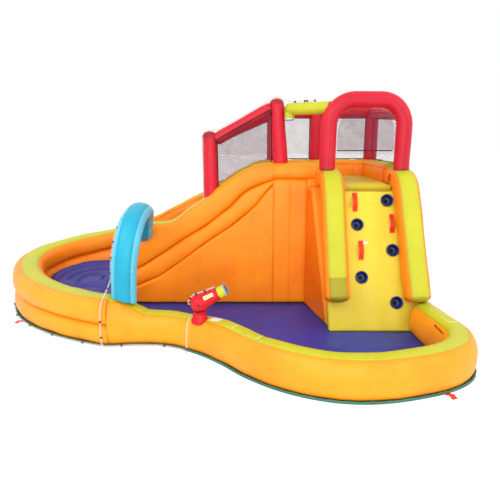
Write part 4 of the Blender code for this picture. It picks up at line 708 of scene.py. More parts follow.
@material_maker
def moulded(w, sockets, colour, rough=0.35):
    """Moulded plastic: fine orange-peel grain with a cloudy gloss."""
    where = w.node("TexCoord").outputs["Object"]
    peel, cloud = w.noise(where, 420.0, 2.0), w.noise(where, 22.0, 3.0)
    lighter = [min(1, c * 1.12 + 0.01) for c in colour]
    w.put_all(sockets, {
        "Base Color": w.mix(cloud, (*colour, 1), (*lighter, 1)),
        "Roughness": w.spread(cloud, 0.3, 0.7, rough - 0.06, rough + 0.08),
        "Normal": w.bump(peel, 0.25, 0.0004), "Coat Weight": 0.2,
    })


@material_maker
def water_tube(w, sockets, colour):
    """Milky water tube: faint droplets inside and a smooth skin."""
    where = w.node("TexCoord").outputs["Object"]
    drops = w.spread(w.noise(where, 55.0, 3.0, 0.6), 0.45, 0.7)
    paler = [min(1, c * 1.08) for c in colour]
    w.put_all(sockets, {
        "Base Color": w.mix(drops, (*colour, 1), (*paler, 1)), "Roughness": w.spread(drops, 0, 1, 0.16, 0.30),
        "Alpha": 0.36, "Coat Weight": 0.4, "Coat Roughness": 0.1,
    })


FINISHES = {
    "amber": cloth("amber cloth", (255, 156, 22), (205, 96, 6)),
    # orange is the tower's own cloth, and also painted shade on the left walls' pool side
    "orange": cloth("orange cloth", (255, 142, 14), (215, 78, 4)),
    "lime": cloth("lime cloth", (190, 188, 34), (146, 138, 20), tint=0.1),
    "yellow": cloth("yellow cloth", (222, 202, 52), (176, 148, 24), tint=0.15),
    "olive": cloth("bolster foot cloth", (166, 156, 18), (120, 110, 14)),
    "red": cloth("red cloth", (204, 14, 42), (110, 6, 20), crease=1.1),
    "cannon_red": cloth("cannon red cloth", (206, 6, 28), (130, 6, 16), crease=1.3),
    "scarlet": cloth("scarlet webbing", (236, 58, 26), (160, 30, 12), 0.6, 0.06, 0.5, coat=0.0),
    "pool_blue": cloth(
        "pool floor cloth", (46, 44, 124), (6, 62, 168), 0.36, 0.22, 1.4, coat=0.08, dust=0.0, tint=0.6,
    ),
    "cushion_blue": cloth("cushion cloth", (58, 58, 140), (22, 22, 80), 0.38, 0.10, 1.2, coat=0.04, dust=0.0),
    "arch_blue": cloth("spray arch cloth", (18, 160, 190), (8, 116, 156), 0.38, 0.07, coat=0.08),
    "arch_pale": cloth("spray arch edge cloth", (92, 190, 216), (16, 130, 166), 0.38, 0.06),
    "navy": moulded("foothold plastic", (22, 38, 104), 0.34),
    "hem_green": cloth("hem cloth", (72, 104, 96), (40, 60, 56), 0.6, 0.12, 1.0, coat=0.0),
    "piping": cloth("hem piping", (58, 116, 96), (40, 76, 64), 0.5, 0.14, 0.6),
    "ring_blue": moulded("sprayer ring plastic", (86, 128, 176), 0.35),
    "net_grey": net("grey net", (96, 34, 60), coverage=0.13),
    "tube_white": water_tube("water tube", (222, 200, 190)),
    "black": moulded("black plastic", (26, 26, 28), 0.42),
    "binding": cloth("black binding", (34, 28, 30), (16, 14, 14), 0.7, 0.1, coat=0.0),
    "white": cloth("white label cloth", (238, 234, 228), (190, 186, 180), 0.55, 0.05, coat=0.0),
    "label": cloth("pale outline print", (232, 224, 118), (180, 170, 60), 0.5, 0.05, coat=0.1),
    "patch": cloth("yellow patch", (246, 224, 80), (190, 160, 30), 0.5, 0.05, coat=0.1),
    "thread": cloth("orange thread", (214, 112, 30), (150, 70, 14), 0.7, 0.1, coat=0.0),
    # near black painted shade for holes and bores, where only shade falls
    "grip": cloth("inner hole cloth", (20, 26, 42), (10, 12, 20), 0.7, 0.1, coat=0.0),
}

# Pool and tower walls
LEFT, RIGHT, BACK = (smooth_line(points, 0.016) for points in (LEFT_LINE, RIGHT_LINE, BACK_LINE))
LEFT_ENDS, RIGHT_ENDS, BACK_ENDS = (INTO_POOL, ACROSS_X), (ACROSS_X, None), (ACROSS_X, ACROSS_X)
LEFT_SIDES, RIGHT_SIDES, BACK_SIDES = (
    side_of(line, ends) for line, ends in ((LEFT, LEFT_ENDS), (RIGHT, RIGHT_ENDS), (BACK, BACK_ENDS))
)


def left_tops():
    """Top of the left pool wall along its line: it climbs from the channel round to the back wall."""
    share = along(LEFT) / along(LEFT)[-1]
    heights = [NEAR_TOP, NEAR_TOP + 0.02, END_TOP, FAR_TOP - 0.10, FAR_TOP]
    return np.interp(share, [0, 0.25, 0.55, 0.85, 1], heights)


def right_tops():
    """Top of the right rim along its line: it dips where the cannon stands."""
    heights = [NEAR_TOP, NEAR_TOP - 0.01, DIP_TOP, DIP_TOP, RIGHT_TOP]
    return np.interp(along(RIGHT), [0, 0.10, 0.36, 0.80, 1.20], heights)


def right_widths(line=RIGHT):
    """Width of the right rim along its line, or along another one of the same course."""
    return np.interp(along(line), [0, 0.45], [LEFT_WIDTH, RIGHT_WIDTH])


def faces_between(degrees, low, high):
    """Which columns of faces of a section lie between two angles, by the middle of each column."""
    middle = (degrees + np.append(degrees[1:], degrees[0] + 360)) / 2
    return ((middle > low) & (middle < high) | (middle + 360 < high)).astype(np.int32)


def columns_at(degrees, seams):
    """The columns of a section that lie nearest to the seams' angles."""
    return [int(np.argmin(np.abs(degrees - seam))) for seam in seams]


def wall_skin(name, node, rings, section, finishes, seed, strip=None, inner=None, reach=(0.004, 0.004),
              **sewing):
    """A wall from its rings: sewn seams at the strip's edges, gathers at the ends, and soft closed noses.

    The strip on the crown takes the second finish, and the pool side, where inner gives it, the next one.
    """
    degrees = section[4]
    skin = sewn(rings, columns_at(degrees, strip or ()), seed, **sewing)
    skin[0][:, :, 2] = np.maximum(skin[0][:, :, 2], rings[:, :, 2].min())
    marked = faces_between(degrees, *strip) if strip else 0
    if inner:
        marked = marked + (2 if strip else 1) * faces_between(degrees, *inner)
    obj = skin_piece(name, finishes, *with_noses(skin, reach), marked=marked if strip or inner else None)
    return fit(obj, nodes=node)


def creased(run, places, depth, width=0.03):
    """How far a seam across a wall draws it in: a narrow cusp at each place given."""
    return sum(depth * np.exp(-(np.abs(run - place) / width) ** 0.8) for place in places)


def make_left_walls():
    """Two tubes one on the other, carried round the left pool; each cross seam draws the cloth in."""
    run, tops = along(LEFT), left_tops()
    slim = creased(run, np.arange(0.62, run[-1], 0.98), 0.010)
    middle = BASE + (tops - BASE) * eased(LEFT_CREASES, run / run[-1], 0.05)
    section = tube_section((), 68)
    rings = carried(LEFT, LEFT_SIDES, section, LEFT_WIDTH - slim, BASE, middle - GAP / 2 - 0.3 * slim)
    # the pool side of both tubes takes the orange finish as painted shade
    wall_skin("left_lower_wall", "left_lower_tube", rings, section, ["amber", "orange"], 3,
              inner=LOWER_POOL_PAINTED_SHADE, wobble=0.0035)
    section = tube_section(LEFT_STRIP, 64)
    rings = carried(LEFT, LEFT_SIDES, section, LEFT_WIDTH - slim, middle - 0.003, tops - 0.4 * slim)
    wall_skin("left_upper_wall", "left_upper_tube", rings, section, ["amber", "lime", "orange"], 5,
              LEFT_STRIP, UPPER_POOL_PAINTED_SHADE, wobble=0.0035, gather=0.0034)


def make_right_rim():
    """One tube round the right pool, kept clear of the climbing wall's flank."""
    run = along(RIGHT)
    slim = creased(run, np.arange(0.70, run[-1] - 0.3, 1.02), 0.008)
    section = tube_section(RIM_STRIP, 68)
    rings = carried(RIGHT, RIGHT_SIDES, section, right_widths() - slim, BASE, right_tops() - 0.4 * slim)
    blocked = (rings[:, :, 1] > CLIMB_FRONT_Y - 0.012) & (rings[:, :, 0] < PANEL_RIGHT_X + 0.002)
    blocked &= (RIGHT[:, 0] > PANEL_LEFT_X)[:, None]
    rings[:, :, 0] = np.where(blocked, np.maximum(rings[:, :, 0], PANEL_RIGHT_X + 0.001), rings[:, :, 0])
    wall_skin("right_rim", "right_rim_tube", rings, section, ["amber", "lime"], 9, RIM_STRIP, gather=0.003)


def make_back_wall():
    """The tall back wall: pillows between upright ribs, its top stepping down with the slide."""
    pillow = np.abs(np.cos(math.pi * along(BACK) / RIB_PITCH)) ** 0.45
    tops = eased(BACK_TOPS, BACK[:, 0]) - 0.012 * (1 - pillow)
    section = wall_section(seam=WALL_STRIP[0])
    rings = carried(BACK, BACK_SIDES, section, WALL_THICK - RIB_DEPTH * (1 - pillow), BASE, tops)
    wall_skin("back_wall_skin", "back_wall", rings, section, ["orange", "lime"], 13, WALL_STRIP)


def front_rings(xs, section, low, high, width):
    """Rings of a section carried along the tower's front line."""
    line = np.column_stack([xs, np.full(len(xs), FRONT_Y)])
    return carried(line, np.tile(ACROSS_X, (len(xs), 1)), section, width, low, high)


def make_slide_wall():
    """Three tiers beside the slide: two sloped tubes with deep creases between them over an upright panel.

    They thin towards the free end, by a square root of the distance from it, to close in a soft nose.
    """
    xs = np.linspace(SLIDE_END_X + 0.004, CORNER_X - GAP - 0.001, 116)
    tops, upper, lower = eased(SLIDE_TOPS, xs), eased(UPPER_CREASE, xs, 0.03), eased(LOWER_CREASE, xs, 0.03)
    thick = WALL_THICK * (0.72 + 0.28 * np.sqrt(np.clip((xs - SLIDE_END_X) / 0.12, 0, 1)))
    reach = (0.006, 0.0007)
    section = tube_section(SLIDE_STRIP, 60, 0.6)
    wall_skin("slide_upper_wall", "slide_upper_tube", front_rings(xs, section, upper - 0.004, tops, thick),
              section, ["orange", "lime"], 21, SLIDE_STRIP, reach=reach, gather=0.0035)
    section = tube_section((), 60, 0.6)
    wall_skin("slide_middle_wall", "slide_middle_tube", front_rings(xs, section, lower - 0.004, upper, thick),
              section, ["orange"], 23, reach=reach)
    section = wall_section(0.06, 0.05)
    thick = thick - creased(xs, (SLIDE_RIB_X,), 0.022, 0.035) + 0.016 * folds_along(xs, 0.21, 27)
    rings = front_rings(xs, section, BASE, np.maximum(lower, 0.18), thick)
    wall_skin("slide_lower_wall", "slide_lower_panel", rings, section, ["orange"], 25, reach=reach)


def make_tower_front():
    """The tower's front: an upright panel creased at its rib, and the band round its top."""
    xs = np.linspace(CORNER_X - 0.004, SIDE_LEFT_X - GAP - 0.001, 36)
    rib = creased(xs, (TOWER_RIB_X,), 0.030, 0.03)
    side = 0.010 * (np.exp(-(xs - CORNER_X) / 0.02) + np.exp((xs - SIDE_LEFT_X) / 0.02))
    section = wall_section(0.08, 0.06)
    thick = WALL_THICK - rib - side + 0.014 * folds_along(xs, 0.16, 35)
    rings = front_rings(xs, section, BASE, BAND_LOW + 0.004, thick)
    wall_skin("tower_front_wall", "tower_front_panel", rings, section, ["orange"], 31, reach=(0.0007, 0.0007))
    xs = np.linspace(CORNER_X - 0.004, BAND_END_X - 0.004, 50)
    pinch = creased(xs, (TOWER_RIB_X, BAND_RIB_X), 0.016, 0.03)
    section = tube_section(SLIDE_STRIP, 60)
    rings = front_rings(xs, section, BAND_LOW - 0.004, WALL_TOP - 0.2 * pinch, WALL_THICK - pinch)
    wall_skin("tower_front_roll", "tower_front_band", rings, section, ["orange", "lime"], 33, BAND_STRIP,
              reach=(0.0007, 0.003), gather=0.0035)


def make_right_wall():
    """The tower's right wall between the climbing wall and the back wall, with two upright creases."""
    ys = np.linspace(FRONT_FACE_Y + 0.004, BACK_FACE_Y - GAP - 0.004, 60)
    line = np.column_stack([np.full(len(ys), RIGHT_WALL_X), ys])
    rib = creased(ys, RIGHT_WALL_RIBS_Y, 0.026, 0.03)
    section = wall_section(seam=WALL_STRIP[0])
    rings = carried(line, np.tile(ALONG_Y, (len(ys), 1)), section, RIGHT_WALL_THICK - rib, BASE,
                    WALL_TOP - 0.3 * rib)
    wall_skin("right_wall_skin", "right_wall", rings, section, ["orange", "lime"], 37, WALL_STRIP)


# Climbing wall
def inset(outline, by):
    """A closed anticlockwise outline moved inwards at each corner."""
    ahead = unit(np.roll(outline, -1, axis=0) - outline)
    both = ahead + np.roll(ahead, 1, axis=0)
    normal = unit(np.stack([-both[:, 1], both[:, 0]], axis=1))
    lean = np.clip((normal * np.stack([-ahead[:, 1], ahead[:, 0]], axis=1)).sum(axis=1), 0.5, 1)
    return outline + normal * (by / lean)[:, None]


def round_outline(outline, step=0.014, turn=0.03):
    """The outline read off at an even spacing with its corners rounded by a running mean."""
    loop = np.vstack([outline, outline[:1]])
    length = along(loop)[-1]
    even = at_run(loop, np.linspace(0, length, int(length / step), endpoint=False))
    half = max(1, int(turn / step))
    return np.mean([np.roll(even, k, axis=0) for k in range(-half, half + 1)], axis=0)


def slab_skin(outline, first, last, soft=0.035, splay=None, columns=60):
    """Rings of a soft slab from first to last along x: its outline, shrunk by a quarter round at each end."""
    share = np.linspace(0, 1, columns)
    drawn = soft * (1 - rolled(np.minimum(share, 1 - share) * (last - first), soft))
    rings = []
    for s, by in zip(share, drawn):
        ring = inset(outline, by + 0.0005)
        x = first + (last - first) * s + (splay(ring[:, 0]) if splay else 0.0)
        rings.append(np.column_stack([np.full(len(ring), x), ring]))
    return np.array(rings)


def panel_outline():
    """The climbing panel from its side, as (y, z)."""
    top = DECK_UNDER + 0.03
    front = [(slope_y(z), z) for z in (top, 0.7 * top, 0.35 * top, BASE)]
    return np.array([(slope_y(BASE) + CLIMB_THICK, BASE), (slope_y(top) + CLIMB_THICK, top), *front])


def side_outline(back_y, step_y):
    """A flank of the climbing wall from its side, as (y, z), stepped under the tower's band."""
    under_bolster, under_band = BOLSTER_TOP - BOLSTER_DEPTH - GAP, BAND_LOW - GAP
    low = slope_y(BASE) + CLIMB_THICK + GAP
    high = slope_y(under_bolster) + CLIMB_THICK + GAP
    rear = [(back_y, BASE), (back_y, under_bolster)]
    if back_y > step_y:
        rear = [(back_y, BASE), (back_y, under_band), (step_y, under_band), (step_y, under_bolster)]
    return np.array([(low, BASE), *rear, (high, under_bolster)])


def flare(y):
    """How far the left flank stands out to the left: it grows evenly towards the tower."""
    return -(SIDE_SPLAY + 0.008) * np.clip((y - CLIMB_FRONT_Y - CLIMB_THICK) / (FRONT_FACE_Y + 0.36), 0, 1)


def soft_skin(name, node, rings, finish, seed, wobble=0.003, gather=0.002, face=None):
    """A slab's rings with a slow wobble and gathers at both rims, closed flat at the ends."""
    skin = sewn(rings, [], seed, wobble=wobble, gather=gather)
    skin[0][:, :, 2] = np.maximum(skin[0][:, :, 2], BASE)
    grid, *values = with_noses(skin, rows=8)
    if face:
        grid[:8, :, 0] = face(grid[:8, :, 1])
    return fit(skin_piece(name, finish, grid, *values), nodes=node)


def make_climb_sides():
    """The climbing wall's two flanks, splayed towards the tower on the left."""
    left = round_outline(side_outline(FRONT_BACK_Y - 0.02, FRONT_FACE_Y - GAP))
    right = round_outline(side_outline(FRONT_FACE_Y - GAP, FRONT_FACE_Y))
    rings = slab_skin(left, PANEL_LEFT_X, PANEL_LEFT_X + SIDE_THICK, splay=flare, columns=24)
    soft_skin("climb_left_flank", "climb_left_side", rings, "orange", 41,
              face=lambda y: PANEL_LEFT_X + flare(y))
    rings = slab_skin(right, PANEL_RIGHT_X - SIDE_THICK, PANEL_RIGHT_X, columns=24)
    soft_skin("climb_right_flank", "climb_right_side", rings, "orange", 43)


def make_climb_panel():
    """The yellow climbing face: a soft slab, drawn in across its lip, with a pit for each foothold."""
    outline = round_outline(panel_outline(), 0.012)
    rings = slab_skin(outline, PANEL_LEFT_X, PANEL_RIGHT_X, soft=0.03, columns=86)
    front = rings[:, :, 1] < slope_y(rings[:, :, 2]) + 0.03
    crease = 0.012 * np.exp(-((rings[:, :, 2] - 1.27) / 0.02) ** 2) * front
    columns = 0.004 * np.cos(2 * math.pi * (rings[:, :, 0] - PANEL_LEFT_X) / COLUMN_PITCH) * front
    rings = rings - SLOPE_OUT * (crease + 0.004 - columns)[:, :, None]
    panel = soft_skin("climb_face", "climb_panel", rings, "yellow", 45, wobble=0.0028)
    # the pit walls take the near black painted hole shade
    panel.data.materials.append(FINISHES["grip"]())
    cutters = []
    for x, z in HOLDS:
        line = [on_slope(x, z, out) for out in (-HOLD_DEPTH - 0.004, 0.0, 0.06)]
        rings = round_rings(line, HOLD_RADIUS + 0.0012, 48)
        cutters.append(skin_piece("pit", "grip", closed_ends(rings, rows=2)))
    pits = merged("pits", cutters)
    cut = panel.modifiers.new("pits", "BOOLEAN")
    cut.object, cut.solver = pits, "EXACT"
    bpy.context.view_layer.update()
    graph = bpy.context.evaluated_depsgraph_get()
    carved = bpy.data.meshes.new_from_object(panel.evaluated_get(graph))
    panel.modifiers.clear()
    panel.data = carved
    bpy.data.objects.remove(pits, do_unlink=True)


def bolster_line(bottom_x, top_x):
    """A bolster's middle: up the climbing face, over its lip and back to the tower's front."""
    points = []
    for z in (BOLSTER_FOOT, 0.7, 1.1, 1.36):
        share = (z - BOLSTER_FOOT) / (CLIMB_LIP_Z - BOLSTER_FOOT)
        points.append(on_slope(bottom_x + (top_x - bottom_x) * share, z, BOLSTER_DEPTH / 2 + GAP))
    crest = BOLSTER_TOP - BOLSTER_DEPTH / 2
    points += [(top_x, CLIMB_LIP_Y - 0.045, crest - 0.035), (top_x, CLIMB_LIP_Y + 0.06, crest)]
    return smooth_line([*points, (top_x, FRONT_FACE_Y - GAP, crest)], 0.014)


def make_bolsters():
    """Rolled bolsters up each side of the climbing face: a squared section with a lime front.

    The lime ends in an olive foot on the left one. Where a bolster lies on the face it is pressed flat.
    """
    degrees = with_rows_near(np.linspace(0, 360, 56, endpoint=False), BOLSTER_STRIP, (-3, -1, 0, 1, 3), 2)
    across = squared(np.cos(np.radians(degrees)), 0.62)[None, :, None] * BOLSTER_WIDTH / 2
    out = squared(np.sin(np.radians(degrees)), 0.62)[None, :, None] * BOLSTER_DEPTH / 2
    out = np.where(out < 0, out * 0.985, out)
    places = (
        ("left_bolster", LEFT_BOLSTER_X, BOLSTER_LEANS[0], 51, 2),
        ("right_bolster", RIGHT_BOLSTER_X, BOLSTER_LEANS[1], 53, 1),
    )
    for name, top_x, lean, seed, foot_finish in places:
        line = bolster_line(top_x + lean, top_x)
        way = np.gradient(line, axis=0)
        way[-1] = BACKWARDS
        way = unit(way)
        normal = unit(np.cross(ALONG_X, way))
        rings = line[:, None, :] + across * np.cross(way, normal)[:, None, :] + out * normal[:, None, :]
        grid, *values = sewn(rings, columns_at(degrees, BOLSTER_STRIP), seed, gather=0.003, wobble=0.003)
        off = (grid - on_slope(0.0, 0.0)) @ SLOPE_OUT
        on_face = (grid[:, :, 2] < 1.36) & (off < 0.001)
        grid = grid + SLOPE_OUT * np.where(on_face, 0.001 - off, 0)[:, :, None]
        skin = with_noses((grid, *values), (0.055, 0.0), 8)
        marks = np.tile(faces_between(degrees, *BOLSTER_STRIP), (len(skin[0]) - 1, 1))
        marks[:OLIVE_ROWS] *= foot_finish
        bolster = skin_piece(name + "_skin", ["orange", "lime", "olive"], *skin, marked=marks.ravel())
        fit(bolster, nodes=name)


def make_footholds():
    """Deep moulded cups let into the face: a rolled lip, a ribbed inside and a dark grip hole at the bottom.

    The profile is carried round as (radius, height over the face); the ribs are a sine round the turn.
    """
    floor = -HOLD_DEPTH
    profile = np.array([
        (0.002, floor + 0.001), (0.030, floor + 0.001), (0.054, floor), (0.062, floor + 0.006),
        (0.0655, floor + 0.02), (0.0658, -0.04), (0.0658, -0.01), (0.0660, 0.000), (0.0668, 0.004),
        (0.0655, 0.0075), (0.0625, 0.0088), (0.0590, 0.0085), (0.0555, 0.0060), (0.0530, 0.0000),
        (0.0515, -0.012), (0.0500, -0.026), (0.0480, -0.040), (0.0455, -0.052), (0.0420, -0.059),
        (0.0360, -0.0625), (0.0290, -0.0635), (0.0260, -0.0632), (0.0245, -0.0642), (0.0240, -0.0680),
        (0.0200, -0.0690), (0.0100, -0.0692), (0.0015, -0.0692),
    ])
    turn = round_turn(72)
    ribbed = np.zeros((len(profile), 1))
    ribbed[13:19, 0] = (0.3, 1, 1, 1, 1, 0.5)
    r = profile[:, :1] + 0.0022 * ribbed * np.sin(turn * 18)
    up = np.cross(SLOPE_OUT, ALONG_X)
    cup = (r * np.cos(turn))[:, :, None] * ALONG_X + (r * np.sin(turn))[:, :, None] * up
    cup = cup + SLOPE_OUT * profile[:, 1:, None]
    poles = [np.tile(cup[end].mean(axis=0), (1, len(turn), 1)) for end in (0, -1)]
    cup = np.concatenate([poles[0], cup, poles[1]])
    # the rows of the small bottom hole take the near black painted hole shade
    marks = np.repeat((np.arange(len(cup) - 1) > 22).astype(np.int32), len(turn))
    for i, (x, z) in enumerate(HOLDS, 1):
        hold = skin_piece(f"foothold_cup_{i}", ["navy", "grip"], cup + on_slope(x, z), marked=marks)
        fit(hold, nodes=f"foothold_{i}")


def strap_rings(first, last, normal, across, rise):
    """A webbing strap: its ends folded double and flat on the face, its middle bowed out for a hand."""
    t = np.linspace(0, 1, 72)
    bow = np.sin(math.pi * np.clip((t - 0.16) / 0.68, 0, 1))
    lift = rise * bow**0.8
    thick = STRAP_THICK / 2 * (1.0 + 0.8 / (1 + np.exp((np.minimum(t, 1 - t) - 0.15) * 160)))
    half = STRAP_WIDTH / 2 * (1.0 - 0.10 * bow)
    turn = np.radians(np.arange(0, 360, 15))
    a, b = squared(np.cos(turn), 0.25), squared(np.sin(turn), 0.5)
    middle = first + (last - first) * t[:, None] + normal * (GAP + lift + thick)[:, None]
    curl = 0.0025 * np.sin(t * 9.0) * (lift > 0.004)
    out = b * thick[:, None] + np.abs(a) ** 6 * curl[:, None]
    return middle[:, None, :] + (a * half[:, None])[:, :, None] * across + out[:, :, None] * normal


def make_handles():
    """Red webbing handles: three on the face and one on the right bolster's flank, with box-stitched ends."""
    places = [
        (on_slope(x, z - HANDLE_REACH), on_slope(x, z + HANDLE_REACH), SLOPE_OUT, ALONG_X, 0.034)
        for x, z in HANDLES
    ]
    lo, hi = (np.array(corner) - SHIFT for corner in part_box("handle_4"))
    ends = (np.array([hi[0] + GAP, (lo[1] + hi[1]) / 2, z]) for z in (lo[2], hi[2]))
    places.append((*ends, -ALONG_X, BACKWARDS, 0.020))
    for i, place in enumerate(places, 1):
        grid = strap_rings(*place)
        run = along(grid.mean(axis=1))[:, None] + 0 * grid[:, :, 0]
        seam = np.abs(np.minimum(run, run[-1] - run) - 0.024)
        skin = with_noses((grid, seam, run, run), (0.001, 0.001), 3)
        fit(skin_piece(f"handle_strap_{i}", "scarlet", *skin), nodes=f"handle_{i}")


# Red frame
def frame_lines():
    """Ends of each post and rail, its radius and whether its head is domed."""
    left, middle, right = BACK_POSTS_X
    rise = max(0.0, RIGHT_RAIL_Z - ARCH_SPRING)
    arch_side = ARCH_RIGHT_X - ARCH_CORNER + math.sqrt(ARCH_CORNER**2 - rise**2)
    rail_low = SLIDE_POST_TOP - POST_RADIUS * 1.5 + 0.034
    foot = WALL_TOP - POST_SINK
    posts = {
        "slide_post": (SLIDE_POST_X, FRONT_Y, SLIDE_POST_FOOT, SLIDE_POST_X, SLIDE_POST_TOP),
        "corner_post": (CORNER_POST_FOOT_X, FRONT_Y, foot, CORNER_POST_HEAD_X, CORNER_POST_TOP),
        "back_slide_post": (BACK_SLIDE_POST_X, BACK_Y, SLIDE_POST_FOOT, BACK_SLIDE_POST_X, SLIDE_POST_TOP),
        "back_left_post": (left, BACK_Y, foot, left, BACK_POST_TOP),
        "back_right_post": (right, BACK_Y, foot, right, BACK_POST_TOP),
    }
    lines = {
        name: ((foot_x, y, low), (head_x, y, top - DOME), POST_RADIUS, True)
        for name, (foot_x, y, low, head_x, top) in posts.items()
    }
    lines["back_middle_post"] = ((middle, BACK_Y, foot), (middle, BACK_Y, RAIL_Z), POST_RADIUS, False)
    rails = {
        "slide_rail": (
            (SLIDE_POST_X + RAIL_START, FRONT_Y, rail_low),
            (CORNER_POST_HEAD_X - RAIL_END, FRONT_Y, RAIL_Z - 0.006),
        ),
        "back_slide_rail": (
            (BACK_SLIDE_POST_X + RAIL_START, BACK_Y, rail_low), (left - RAIL_END, BACK_Y, RAIL_Z - 0.026),
        ),
        "back_rail": ((left + RAIL_START, BACK_Y, RAIL_Z), (right - RAIL_START, BACK_Y, RAIL_Z)),
        "right_rail": ((arch_side, ARCH_Y + 0.07, RIGHT_RAIL_Z), (right, BACK_Y - 0.08, RAIL_Z - 0.012)),
    }
    return lines | {name: (*ends, RAIL_RADIUS, False) for name, ends in rails.items()}


def soft_tube(line, radius, seed, seams=(11, 33), reach=(0.0, 0.0)):
    """A sewn round tube of 44 columns: seams at two of them, gathers at its ends, and round noses."""
    sewing = {"wobble": 0.002, "gather": 0.003, "groove": 0.002, "pitch": 0.045, "spread": 0.035}
    return with_noses(sewn(round_rings(line, radius, 44), seams, seed, **sewing), reach, 8)


def make_posts_and_rails():
    """The red posts and rails that the nets hang between, each drawn in at its sewn foot.

    The two posts beside the slide are cut at the foot to the slope that they stand on.
    """
    parts = {}
    for i, (name, (start, end, radius, domed)) in enumerate(frame_lines().items()):
        line = np.linspace(start, end, int(math.dist(start, end) / 0.016) + 2)
        run = along(line)
        head = 0.0 if domed else 0.03
        size = radius * (1 - 0.04 * np.exp(-run / 0.02) - head * np.exp(-(run[-1] - run) / 0.02))
        grid, *values = soft_tube(line, size, 60 + i, reach=(0.0, DOME if domed else 0.0))
        table = {"slide_post": SLIDE_TOPS, "back_slide_post": BACK_TOPS}.get(name)
        if table:
            crown = eased(table, grid[:, :, 0]) - 0.012 - 0.10 * (grid[:, :, 1] - start[1]) ** 2 / 0.15
            grid[:, :, 2] = np.maximum(grid[:, :, 2], crown)
        parts[name] = skin_piece(name + "_cloth", "red", grid, *values)
    parts["back_rail"] = merged("back_rail_cloth", [parts["back_rail"], parts.pop("back_middle_post")])
    for name, part in parts.items():
        fit(part, nodes=name)


def make_door_arch():
    """The door arch: a red tube over the climbing wall's lip, with folds on the inside of its two bends."""
    bow = [
        (ARCH_CORNER - ARCH_CORNER * math.cos(a), ARCH_SPRING + ARCH_CORNER * math.sin(a))
        for a in np.linspace(0, math.pi / 2, 22)
    ]
    rise = [(0.0, z) for z in np.linspace(BOLSTER_TOP - ARCH_SINK, ARCH_SPRING, 24)[:-1]]
    left = [(ARCH_LEFT_X + dx, ARCH_Y, z) for dx, z in rise + bow]
    right = [(ARCH_RIGHT_X - dx, ARCH_Y, z) for dx, z in (rise + bow)[::-1]]
    top = [(x, ARCH_Y, ARCH_TOP - ARCH_RADIUS) for x in np.linspace(left[-1][0], right[0][0], 16)[1:-1]]
    line = np.array(left + top + right)
    rings = round_rings(line, ARCH_RADIUS - 0.0015, 48, up=BACKWARDS)
    bends = (line[:, 2] > ARCH_SPRING) & ((line[:, 0] < left[-1][0]) | (line[:, 0] > right[0][0]))
    tight = np.convolve(bends.astype(float), np.ones(5) / 5, mode="same")
    inward = (rings - line[:, None, :])[:, :, 0] * np.sign((ARCH_LEFT_X + ARCH_RIGHT_X) / 2 - line[:, :1])
    under = line[:, 2:] - rings[:, :, 2]
    share = np.clip(inward / ARCH_RADIUS, 0, 1) ** 1.5 + np.clip(under / ARCH_RADIUS, 0, 1)
    folds = 0.0065 * share * (tight * np.sin(2 * math.pi * along(line) / 0.052))[:, None]
    rings = rings + normals_of(rings) * folds[:, :, None]
    skin = sewn(rings, [12, 36], 77, groove=0.002, wobble=0.002, gather=0.0025, pitch=0.045)
    fit(skin_piece("door_arch_cloth", "red", *with_noses(skin, rows=5)), nodes="door_arch")


# Nets
def slab_of(name, grid, across, thick, finish="net_grey"):
    """A closed thin sheet from one grid of points, given thickness along across."""
    index = np.arange(grid[:, :, 0].size).reshape(grid.shape[:2])
    corners = [index[:-1, :-1], index[1:, :-1], index[1:, 1:], index[:-1, 1:]]
    quads = np.stack(corners, axis=-1).reshape(-1, 4)
    rim = np.concatenate([index[0], index[1:, -1], index[-1, -2::-1], index[-2:0:-1, 0]])
    ahead = np.roll(rim, -1)
    sides = np.stack([rim, ahead, ahead + index.size, rim + index.size], axis=-1)
    faces = np.concatenate([quads, quads[:, ::-1] + index.size, sides])
    run, rise = (
        np.concatenate([[0], np.cumsum(np.linalg.norm(np.diff(grid, axis=k), axis=2).mean(axis=1 - k))])
        for k in (0, 1)
    )
    uv = np.stack(np.meshgrid(run, rise, indexing="ij"), axis=-1)
    verts = np.concatenate([grid + across * thick / 2, grid - across * thick / 2])
    return mesh_piece(name, verts, faces, finish, uv=np.concatenate([uv, uv]))


def net_piece(name, corners, across, seed, ripple):
    """A thin net through four corners, with slack folds across it."""
    a, b, c, d = corners
    wide, tall = np.linalg.norm(b - a), (np.linalg.norm(d - a) + np.linalg.norm(c - b)) / 2
    u = np.linspace(0, 1, int(wide / 0.014) + 2)[:, None, None]
    v = np.linspace(0, 1, int(tall / 0.014) + 2)[None, :, None]
    grid = (1 - u) * (1 - v) * a + u * (1 - v) * b + u * v * c + (1 - u) * v * d
    held = (np.sin(math.pi * u) * np.sin(math.pi * v))[:, :, 0]
    gathers = 0.5 * waves(grid, 0.09, seed + 3) * (1 - held**0.5) * np.minimum(1, held * 6)
    bulge = waves(grid, 0.33, seed) * held + gathers
    return slab_of(name, grid + across * (ripple * bulge)[:, :, None], across, NET_THICK)


def binding(name, points, radius=0.006, finish="binding", flat=0.5, up=BACKWARDS):
    """A narrow sewn band along a line."""
    line = smooth_line(points, 0.02) if len(points) > 2 else np.linspace(*points, 40)
    rings = round_rings(line, radius, 12, flat, up)
    return skin_piece(name, finish, closed_ends(rings, (0.001, 0.001), 3), 0.02)


